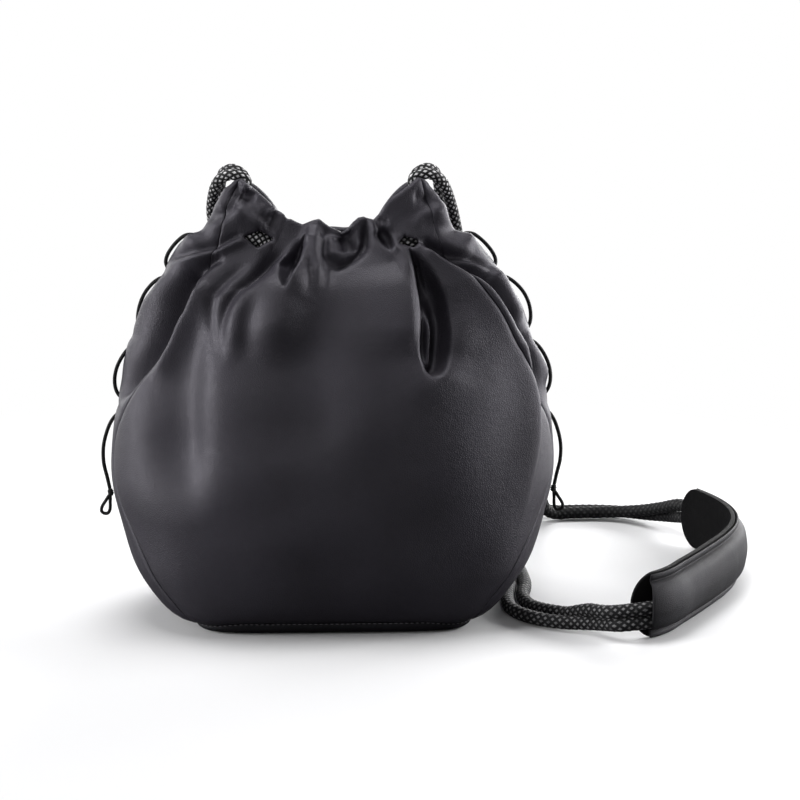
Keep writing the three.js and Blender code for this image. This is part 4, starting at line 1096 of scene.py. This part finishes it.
def panelPiece(name, side, middle, columns, rows):
    # the outer layer up to the rim, a roll over the rim, and the hem's inner layer back down
    s = shellSettings
    isWide = side in ("front", "back")
    crowd = s["columnCrowding"] * pi / 2
    shares = np.sin(np.linspace(-1, 1, columns + 1) * crowd) / sin(crowd)
    levels = levelAt((1 - (1 - np.linspace(0, 1, rows + 1)) ** s["rowCrowding"]) * skinHeights[-1] / mm)
    hemLevels = np.linspace(1, s["hemFoot"], s["hemRows"] + 1)
    roll = np.linspace(0, pi, s["rimSteps"] + 2)[1:-1]
    rim = slice(rows + 1, rows + 1 + len(roll))
    hem = slice(rows + 1 + len(roll), None)
    allLevels = np.concatenate([levels, np.ones(len(roll)), hemLevels])
    seam = np.interp(allLevels, skinLevels, seamShares)
    length = np.interp(allLevels, skinLevels, ringLengths)
    reach = (seam if isWide else 0.25 - seam) - s["seamGap"] / length
    level = np.repeat(allLevels[:, None], columns + 1, 1)
    across = shares * reach[:, None] * length[:, None]
    flat = np.stack([across, np.interp(level, skinLevels, skinHeights)], -1) / mm
    flat, holes, lip = cutWindows(flat, windows.get(side, []), rows)
    foot = flat[..., 1]
    flat = flat * mm
    level = np.interp(flat[..., 1], skinHeights, skinLevels)
    around = flat[..., 0] / np.interp(level, skinLevels, ringLengths)
    points, normals = skin(around + middle, level)
    edge = (reach[:, None] - np.abs(around)) * length[:, None] / mm
    wobble = waves(points, s["wobble"]) * np.interp(level, *s["wobbleFade"])
    push = leatherPush(points, normals, level) + wobble + lip
    edgeTurn = s["edgeTurn"] * np.interp(level, *s["edgeFade"]) * np.exp(-edge / s["edgeReach"])
    push -= mm * (edgeTurn + s["footTurn"] * np.exp(-foot / s["edgeReach"]))
    above = np.minimum(level + s["slopeStep"], 1)
    upward = unit(skin(around + middle, above)[0] - skin(around + middle, above - 2 * s["slopeStep"])[0])
    depth, rise = np.zeros_like(push), np.zeros_like(push)
    rimRadius = s["rimRadius"] * mm
    depth[rim] = rimRadius * (1 - np.cos(roll))[:, None]
    rise[rim] = rimRadius * np.sin(roll)[:, None]
    hemDepth = hemDepths(points[hem], middle) if isWide else s["hemDepth"] * mm
    leave = np.clip((1 - hemLevels) / s["rimBlend"], 0, 1)[:, None]
    depth[hem] = 2 * rimRadius + (hemDepth - 2 * rimRadius) * leave
    if isWide:
        # the inner layer clears the rope, which keeps to the deepest folds
        keep = np.clip((hemLevels - s["hemFoot"]) / s["footBlend"], 0, 1)[:, None]
        push[hem] += (lowestNear(push[hem], s["lowestReach"]) - push[hem]) * (leave * keep)
    points = points + normals * (push - depth)[..., None] + upward * rise[..., None]
    points[..., 2] -= endDrop(points) * np.exp(-(foot / s["dropFade"]) ** 2)
    if side != "back":
        turned = np.mod(around + middle + 0.5, 1) - 0.5
        lift = np.interp(turned, rimLifts["around"], rimLifts["lift"]) * mm
        share = np.clip((level - rimLifts["from"]) / rimLifts["reach"], 0, 1)
        points[..., 2] += lift * share ** rimLifts["curve"]
    return sheetPiece(name, points, leatherLook, s["thickness"], holes=holes.ravel())


declare(panelPiece("frontPanel", "front", 0, 220, 170), "shell",
        "front_panel", "channel_front", "channel_left_front", "channel_right_front")
declare(panelPiece("backPanel", "back", 0.5, 190, 150), "shell",
        "back_panel", "channel_back", "channel_left_back", "channel_right_back")
declare(panelPiece("gussetLeft", "left", 0.75, 70, 150), "shell", "gusset_left")
declare(panelPiece("gussetRight", "right", 0.25, 70, 150), "shell", "gusset_right")
print("shell made")


# the ropes inside the hems
def drawcordPath(turn):
    # the rope follows the leather's folds, evened out over a few millimetres
    s = drawcordRoute
    route = np.stack([s[key] for key in ("around", "level", "depth")], 1)
    around, level, depth = (smoothPath(route * s["scale"], s["step"]) / s["scale"]).T
    points, normals = skin(around + turn, level)
    push = np.full(len(level), s["highestPush"])
    for step in s["levelSteps"]:
        near, out = skin(around + turn, level + step)
        push = np.minimum(push, leatherPush(near, out, level + step))
    reach = s["deepestSteps"]
    push = np.array([push[max(k - reach, 0):k + reach + 1].min() for k in range(len(push))])
    push = evenOut(push, s["eveningSteps"])
    return evenSteps(points + normals * (push - depth * mm)[:, None], ropeSettings["step"])


def windowSwell(path, polygons, turn):
    # the braid spreads where a window lets it out
    swell = np.ones(len(path))
    for polygon in polygons:
        around, level = flatPlace(np.mean(polygon, axis=0))
        centre = skin(np.array(around + turn), np.array(level))[0]
        distance = np.linalg.norm(path - centre, axis=1) / drawcordRoute["windowReach"]
        swell += drawcordRoute["windowSwell"] * np.exp(-distance ** 4)
    return swell


for name, turn in (("front", 0), ("back", 0.5)):
    path = drawcordPath(turn)
    swell = windowSwell(path, windows[name], turn)
    piece = ropePiece("drawcord" + name.capitalize(), path, swell, drawcordLook, drawcordWeave)
    declare(piece, "rope", "drawcord_" + name)


# the lining: a bag inside the bag, closed at the floor
liningSettings = {
    "depth": 2.6,
    "thickness": 0.6,
    "top": 0.872,
    "turns": 260,
    "rows": 110,
    "floorRows": 16,
    "floorHeight": 5.2,
    "wrinkles": {"seed": 9, "count": 12, "size": 24, "height": 0.9},
    "floorWrinkle": 0.35,
}


def liningPiece(s):
    around = np.linspace(0, 1, s["turns"] + 1)
    levels = np.linspace(s["top"], 0, s["rows"] + 1)
    level = np.repeat(levels[:, None], len(around), 1)
    points, normals = skin(np.repeat(around[None, :], len(levels), 0), level)
    push = leatherPush(points, normals, level)
    wrinkle = np.abs(waves(points, s["wrinkles"])) * np.interp(level, (0, 0.1), (0, 1))
    wall = points + normals * (push - wrinkle - s["depth"] * mm)[..., None]
    share = np.linspace(1, 0, s["floorRows"] + 1)[1:, None]
    inner = wall[-1:] * np.array((1, 1, 0)) * share[..., None] + np.array((0, 0, s["floorHeight"] * mm))
    wrinkle = np.abs(waves(inner, {**s["wrinkles"], "height": s["floorWrinkle"]}))
    inner[..., 2] += wrinkle * np.sqrt(1 - share) * np.minimum(1, share * 4)
    rows = np.concatenate([wall, inner])
    rows[:, -1] = rows[:, 0]
    return sheetPiece("lining", rows[::-1], liningLook, s["thickness"], weld=True)


declare(liningPiece(liningSettings), "lining", "lining", "base_board")
print("ropes in the hems and lining made")


# the base: a shallow leather cup under the seam
baseSettings = {
    "turns": 240,
    "thickness": 1.4,
    # inset from the outline and height, in millimetres
    "profile": [(0.9, 5.5), (0.2, 5.5), (-0.15, 5.2), (-0.3, 4.6), (-0.3, 3.6), (0, 2.5), (0.7, 1.5),
                (1.8, 0.8), (3.4, 0.4), (6, 0.22), (14, 0.18), (25, 0.18), (36, 0.18), (43, 0.18),
                (45.4, 0.18)],
    "setback": 0.5,
    # how tall the cup is where the seam's drop is taken off it, in metres
    "dropHeight": 0.0055,
}
# painted shade: the base is drawn in a much darker copy of the leather, for the shade it sits in under the
# shell
paintedShadeBaseLook = leatherMaterial("baseLeatherPaintedShade", {**leatherSettings, "dark": (0.003, 0.003, 0.0035),
                                           "light": (0.006, 0.0055, 0.007), "roughness": 0.62, "gloss": 0.3})


def basePiece(s):
    turn = np.linspace(0, 2 * pi, s["turns"] + 1)
    square, lean = (bagShape["lower"][0][k] for k in (3, 5))
    rows = []
    for inset, height in s["profile"]:
        halfLength, halfDepth = (side / 2 - s["setback"] - inset for side in bagShape["base"])
        x, y = roundedOutline(turn, halfLength, halfDepth, square)
        rows.append(np.stack([x + lean, y, np.full_like(x, height)], 1) * mm)
    rows.append(np.tile(rows[-1].mean(0), (len(turn), 1)))
    rows = np.array(rows)
    rows[..., 2] *= 1 - endDrop(rows) / s["dropHeight"]
    rows[:, -1] = rows[:, 0]
    return sheetPiece("basePanel", rows[::-1], paintedShadeBaseLook, s["thickness"], weld=True)


declare(basePiece(baseSettings), "shell", "base_panel")


# thread on the base seam: short lengths lying along the edge
stitchSettings = {"length": 1.7, "pitch": 2.5, "width": 0.4, "lift": 0.1, "startShare": 0.2}
seamSettings = {"level": 0.004, "steps": 400, "clearance": 0.00005}


def threadMaterial(name, colour):
    material, tree, shader, place = startMaterial(name)
    ply = noise(tree, place, 4000, 2)
    fillInputs(tree, shader, {
        "Base Color": mixColours(tree, ply, (*(0.6 * part for part in colour), 1), (*colour, 1)),
        "Normal": bump(tree, ply, 0.0001),
        "Roughness": 0.6,
    })
    return material


def stitchRow(name, path, outward, material, s):
    # path and outward directions in even steps; one bead of thread every pitch
    along = pathLengths(path)
    count = int(along[-1] / (s["pitch"] * mm))
    size = Matrix.Diagonal((s["width"] / 2 * mm, s["width"] / 2 * mm, s["length"] / 2 * mm, 1))
    bm = bmesh.new()
    for k in range(count):
        start = (k + s["startShare"]) * along[-1] / count
        ends = [placesAt(start + step, along, path) for step in (0, s["length"] * mm)]
        out = placesAt(start, along, outward)
        middle = (ends[0] + ends[1]) / 2 + out * s["lift"] * mm
        forward = Vector(ends[1] - ends[0]).normalized()
        up = (Vector(out) - forward * forward.dot(Vector(out))).normalized()
        turned = Matrix((forward.cross(up), up, forward)).transposed().to_4x4()
        bmesh.ops.create_uvsphere(bm, u_segments=6, v_segments=5, radius=1,
                                  matrix=Matrix.Translation(Vector(middle)) @ turned @ size)
    return meshPiece(name, bm, material)


threadLook = threadMaterial("greyThread", (0.2, 0.19, 0.21))
seamSteps = seamSettings["steps"]
seamPath, seamOut = skin(np.linspace(0, 1, seamSteps), np.full(seamSteps, seamSettings["level"]))
seamPath[:, 2] -= endDrop(seamPath)
seamPath += seamOut * seamSettings["clearance"]
declare(stitchRow("baseStitches", seamPath, seamOut, threadLook, stitchSettings), "shell")
print("base made")


# side laces, threaded out and in through the gussets, with a knot at each end and a pull loop
laceSettings = {
    "diameter": 1.8,
    # level and height of the lace's middle above the leather
    "route": [
        (0.898, -4.2), (0.893, -1.5), (0.884, 0.6), (0.868, 1.7), (0.845, 2.2), (0.825, 2), (0.809, 1),
        (0.799, -0.8), (0.79, -3.2), (0.778, -3.2), (0.769, -0.8), (0.757, 1.1), (0.738, 2.8), (0.715, 3.9),
        (0.69, 3.9), (0.667, 2.9), (0.65, 1.3), (0.639, -0.8), (0.631, -3.2), (0.619, -3.2), (0.611, -0.8),
        (0.6, 1.2), (0.581, 3), (0.557, 4), (0.536, 3.6), (0.52, 2.1), (0.511, 0.2), (0.503, -3),
        (0.484, -3), (0.475, -0.4), (0.463, 1.5), (0.444, 3), (0.42, 3.9), (0.394, 3.6), (0.37, 2.5),
        (0.352, 2.2),
    ],
    "step": 0.5,
    "sides": 14,
    # turns of the twist to a metre, and the strands in it
    "twist": 1500,
    "strands": 6,
    "fuzzScale": 2200,
    "dark": (0.002, 0.002, 0.0025),
    "light": (0.008, 0.008, 0.009),
    "topKnot": 4,
    "endKnot": 3.4,
    "knotGap": 0.3,
    "loopLength": 9.8,
    "loopWidth": 5.6,
    "loopStroke": 1.6,
    "loopTilt": radians(17),
    "loopSteps": (0.2, 0.25),
    # the pull loop's right half: reach outward and way down, as shares
    "loopSide": [(0.16, 0.03), (0.5, 0.3), (0.86, 0.56), (1, 0.76), (0.8, 0.93), (0.3, 0.995)],
}
# a knot in shares of its own radius: length, girth, how blunt its ends are, and the ridges of its turns
knotSettings = {"steps": 25, "sides": 18, "length": 1.05, "girth": 0.82, "taper": 0.94, "blunt": 0.7,
                "ridge": 0.09, "ridgePitch": 0.62}


def laceMaterial(name, s):
    material, tree, shader, place = startMaterial(name)
    uv = splitParts(tree, addNode(tree, "ShaderNodeUVMap").outputs[0])
    twist = calc(tree, "MULTIPLY_ADD", uv[1], s["twist"], calc(tree, "MULTIPLY", uv[0], s["strands"]))
    fuzz = noise(tree, place, s["fuzzScale"], 2)
    ply = calc(tree, "SINE", calc(tree, "MULTIPLY", twist, 2 * pi))
    fillInputs(tree, shader, {
        "Base Color": mixColours(tree, fuzz, (*s["dark"], 1), (*s["light"], 1)),
        "Normal": bump(tree, calc(tree, "MULTIPLY_ADD", ply, 0.5, fuzz), 0.0002, 0.7),
        "Roughness": 0.6,
        "Specular IOR Level": 0.3,
    })
    return material


laceLook = laceMaterial("blackLace", laceSettings)


def knotPiece(name, place, diameter, axis):
    # a tight barrel of lace, with its turns showing as slanted ridges
    s = knotSettings
    size = diameter / 2 * mm
    steps = np.linspace(-1, 1, s["steps"])
    path = np.array(place) + steps[:, None] * np.array(axis) * size * s["length"]
    swell = size * s["girth"] * np.sqrt(1 - (s["taper"] * steps) ** 2) ** s["blunt"]

    def turns(around, along):
        return s["ridge"] * size * np.sin(2 * pi * (along / (s["ridgePitch"] * size) + around))

    return tubePiece(name, path, swell, s["sides"], laceLook, relief=turns)


def dropPath(s):
    # a teardrop loop: the ends meet in the knot, at every swing, and the lower part is round
    half = (s["loopWidth"] - s["loopStroke"]) / 2
    top = -s["endKnot"] / 2
    low = -(s["endKnot"] / 2 + s["knotGap"] + s["loopLength"] - s["loopStroke"] / 2)
    right = [(x * half, 0, top + (low - top) * down) for x, down in s["loopSide"]]
    left = [(-x, y, z) for x, y, z in right[::-1]]
    fine, step = s["loopSteps"]
    return evenSteps(smoothPath([(0, 0, top), *right, *left, (0, 0, top)], fine), step) * mm


for side, turn, direction in (("Left", 0.75, -1), ("Right", 0.25, 1)):
    s = laceSettings
    route = np.array(s["route"])
    points, normals = skin(np.full(len(route), turn), route[:, 0])
    path = smoothPath(points + normals * route[:, 1:] * mm, s["step"] * mm)
    heading = path[-1] - path[-4]
    heading = heading / np.linalg.norm(heading)
    knotPlace = path[-1] + heading * (s["endKnot"] / 2 + s["knotGap"]) * mm
    tilt = Matrix.Rotation(-direction * s["loopTilt"], 3, "Y")
    drop = np.array([tilt @ Vector(point) for point in dropPath(s)]) + knotPlace
    lace = tubePiece("lace" + side, path, s["diameter"] / 2 * mm, s["sides"], laceLook)
    topKnot = knotPiece("laceTopKnot" + side, path[0], s["topKnot"], (0, 1, 0))
    endKnot = knotPiece("laceEndKnot" + side, knotPlace, s["endKnot"], heading)
    loop = tubePiece("pullLoop" + side, drop, s["loopStroke"] / 2 * mm, s["sides"], laceLook, closed=True)
    ending = "_" + side.lower()
    for piece, node in ((lace, "lace"), (topKnot, "lace_top_knot"), (endKnot, "lace_end_knot")):
        declare(piece, "lace", node + ending)
    declare(loop, "lace", "pull_loop" + ending, body="pull" + ending)
print("laces made")


# the shoulder pad's two leather pieces
padInnerLook = leatherMaterial("padInnerFabric", {**leatherSettings, "dark": (0.003, 0.003, 0.003),
                                                  "light": (0.006, 0.006, 0.006), "roughness": 0.8,
                                                  "grainSize": 0.0007, "creaseDepth": 0.0004, "gloss": 0.12})
padCoverLook = leatherMaterial("padCoverLeather", {**leatherSettings, "dark": (0.013, 0.0127, 0.0135),
                                                   "light": (0.028, 0.0275, 0.03), "roughness": 0.64,
                                                   "creaseDepth": 0.0003, "gloss": 0.24})


def padInnerPiece(s):
    total = padLengths[-1] / mm
    share = (1 - np.cos(np.linspace(0, pi, s["steps"]))) / 2
    distance = s["innerInset"] + share * (total - 2 * s["innerInset"])
    edge = np.minimum(np.minimum(distance, total - distance), s["endRound"])
    half = s["height"] / 2 * np.sqrt(1 - (1 - edge / s["endRound"]) ** 2)
    height = s["height"] / 2 + np.linspace(-1, 1, s["innerRows"])[:, None] * half[None, :]
    distance = np.repeat(distance[None, :], s["innerRows"], 0)
    points = padPoints(distance, np.full_like(height, s["baseThickness"] / 2), height)
    return sheetPiece("padInner", points, padInnerLook, s["baseThickness"], s["innerSoftEdge"],
                      (total * mm, s["height"] * mm))


def padCoverPiece(s):
    total = padLengths[-1] / mm
    distance = np.linspace(s["coverSetback"], total - s["coverSetback"], s["steps"])
    lower = s["coverProfile"]
    profile = lower + [(s["height"] - height, out) for height, out in lower[-2::-1]]
    profile = smoothPath([(height, out, 0) for height, out in profile], s["profileStep"])
    height = np.repeat(profile[:, :1], len(distance), 1)
    outward = np.repeat(profile[:, 1:2], len(distance), 1)
    wave = s["sag"]
    random = np.random.default_rng(wave["seed"])
    sag = sum(np.sin(distance / random.uniform(*wave["sizes"]) + random.uniform(0, 6))
              for _ in range(wave["count"])) / wave["count"]
    middle = np.clip((outward - s["middleFrom"]) / s["middleReach"], 0, 1)
    places, shares = s["flatness"]
    flatten = np.interp(distance, np.array(places) * total, shares)
    outward = outward * (1 - middle + middle * flatten[None, :]) + middle * sag[None, :] * wave["height"]
    along = (distance / total * 2 - 1)[None, :]
    distance = distance[None, :] + along**3 * (s["endReach"] + s["middleShare"] * outward)
    return sheetPiece("padCover", padPoints(distance, outward, height), padCoverLook, s["coverThickness"],
                      s["coverSoftEdge"], (total * mm, s["height"] * mm))


padInner = padInnerPiece(padSettings)
padCover = padCoverPiece(padSettings)
declare(padInner, "pad_inner", "pad_base")
declare(padCover, "pad_cover", "pad_cover")
for name, path in padRopePaths.items():
    # under the cover the rope is pressed a little thinner
    piece = ropePiece("padRope" + name.capitalize(), path[hiddenSteps:-hiddenSteps], padSettings["pressed"])
    declare(piece, "rope", "pad_rope_" + name)
print("pad made")


# a pale staged floor, soft studio light and a white surround
stageSettings = {
    "floorRadius": 3.0,
    "floorDrop": 0.0002,
    "floorColour": (0.84, 0.84, 0.85),
    "unseenColour": (0.1, 0.1, 0.105),
    "whiteFrom": (0.2, 0.46),
    "worldLevel": 0.045,
    "target": (0, 0, 0.09),
    # place, size and power of each light
    "lights": {
        "keyLight": ((-1.6, -0.28, 0.45), (0.7, 1.0), 26.5),
        "fillLight": ((1.5, 0.15, 0.34), (0.6, 0.9), 26),
        "topLight": ((-0.1, 0.15, 1.6), (0.9, 0.7), 16),
        "frontLight": ((-0.3, -1.5, 0.8), (1.0, 0.8), 4.3),
        "rimLight": ((0.85, 1.4, 0.4), (1.6, 0.9), 40),
        "edgeLight": ((-1.1, 1.2, 0.4), (0.8, 0.8), 10),
    },
}


def floorMaterial(s):
    # the camera sees the floor turn to white further out, and the leather sees a darker one
    material, tree, shader, place = startMaterial("paleFloor")
    split = splitParts(tree, place)
    plane = addNode(tree, "ShaderNodeCombineXYZ", {0: split[0], 1: split[1]}).outputs[0]
    radius = addNode(tree, "ShaderNodeVectorMath", {0: plane}, operation="LENGTH").outputs["Value"]
    mottle = noise(tree, place, 9, 3)
    colour = s["floorColour"]
    shade = mixColours(tree, mottle, (*(0.985 * part for part in colour), 1), (*colour, 1))
    isCamera = addNode(tree, "ShaderNodeLightPath").outputs["Is Camera Ray"]
    fillInputs(tree, shader, {
        "Base Color": mixColours(tree, isCamera, (*s["unseenColour"], 1), shade),
        "Roughness": calc(tree, "MULTIPLY_ADD", mottle, 0.1, 0.6),
        "Specular IOR Level": 0.2,
    })
    white = addNode(tree, "ShaderNodeEmission", {"Color": (1, 1, 1, 1), "Strength": 1.0})
    share = calc(tree, "MULTIPLY", isCamera, ramp(tree, radius, 0, 1, *s["whiteFrom"]))
    mixed = addNode(tree, "ShaderNodeMixShader", {0: share, 1: shader.outputs[0], 2: white.outputs[0]})
    tree.links.new(mixed.outputs[0], tree.nodes["Material Output"].inputs[0])
    return material


def makeFloor(s):
    bm = bmesh.new()
    bmesh.ops.create_circle(bm, cap_ends=True, segments=96, radius=s["floorRadius"])
    for vert in bm.verts:
        vert.co.z = -s["floorDrop"]
    meshPiece("floor", bm, floorMaterial(s))


def makeLight(name, place, size, power, target):
    data = bpy.data.lights.new(name, "AREA")
    data.shape = "RECTANGLE"
    data.size, data.size_y = size
    data.energy = power
    light = bpy.data.objects.new(name, data)
    heading = Vector(target) - Vector(place)
    light.matrix_world = Matrix.Translation(place) @ heading.to_track_quat("-Z", "Y").to_matrix().to_4x4()
    scene.collection.objects.link(light)


def makeWorld(s):
    world = bpy.data.worlds.new("studio")
    world.use_nodes = True
    tree = world.node_tree
    soft = tree.nodes["Background"]
    fillInputs(tree, soft, {"Color": (1, 1, 1, 1), "Strength": s["worldLevel"]})
    white = addNode(tree, "ShaderNodeBackground", {"Color": (1, 1, 1, 1), "Strength": 1.0})
    isCamera = addNode(tree, "ShaderNodeLightPath").outputs["Is Camera Ray"]
    mixed = addNode(tree, "ShaderNodeMixShader", {0: isCamera, 1: soft.outputs[0], 2: white.outputs[0]})
    tree.links.new(mixed.outputs[0], tree.nodes["World Output"].inputs[0])
    scene.world = world


makeFloor(stageSettings)
makeWorld(stageSettings)
for name, (place, size, power) in stageSettings["lights"].items():
    makeLight(name, place, size, power, stageSettings["target"])
scene.view_settings.view_transform = "Standard"

print("scene done")
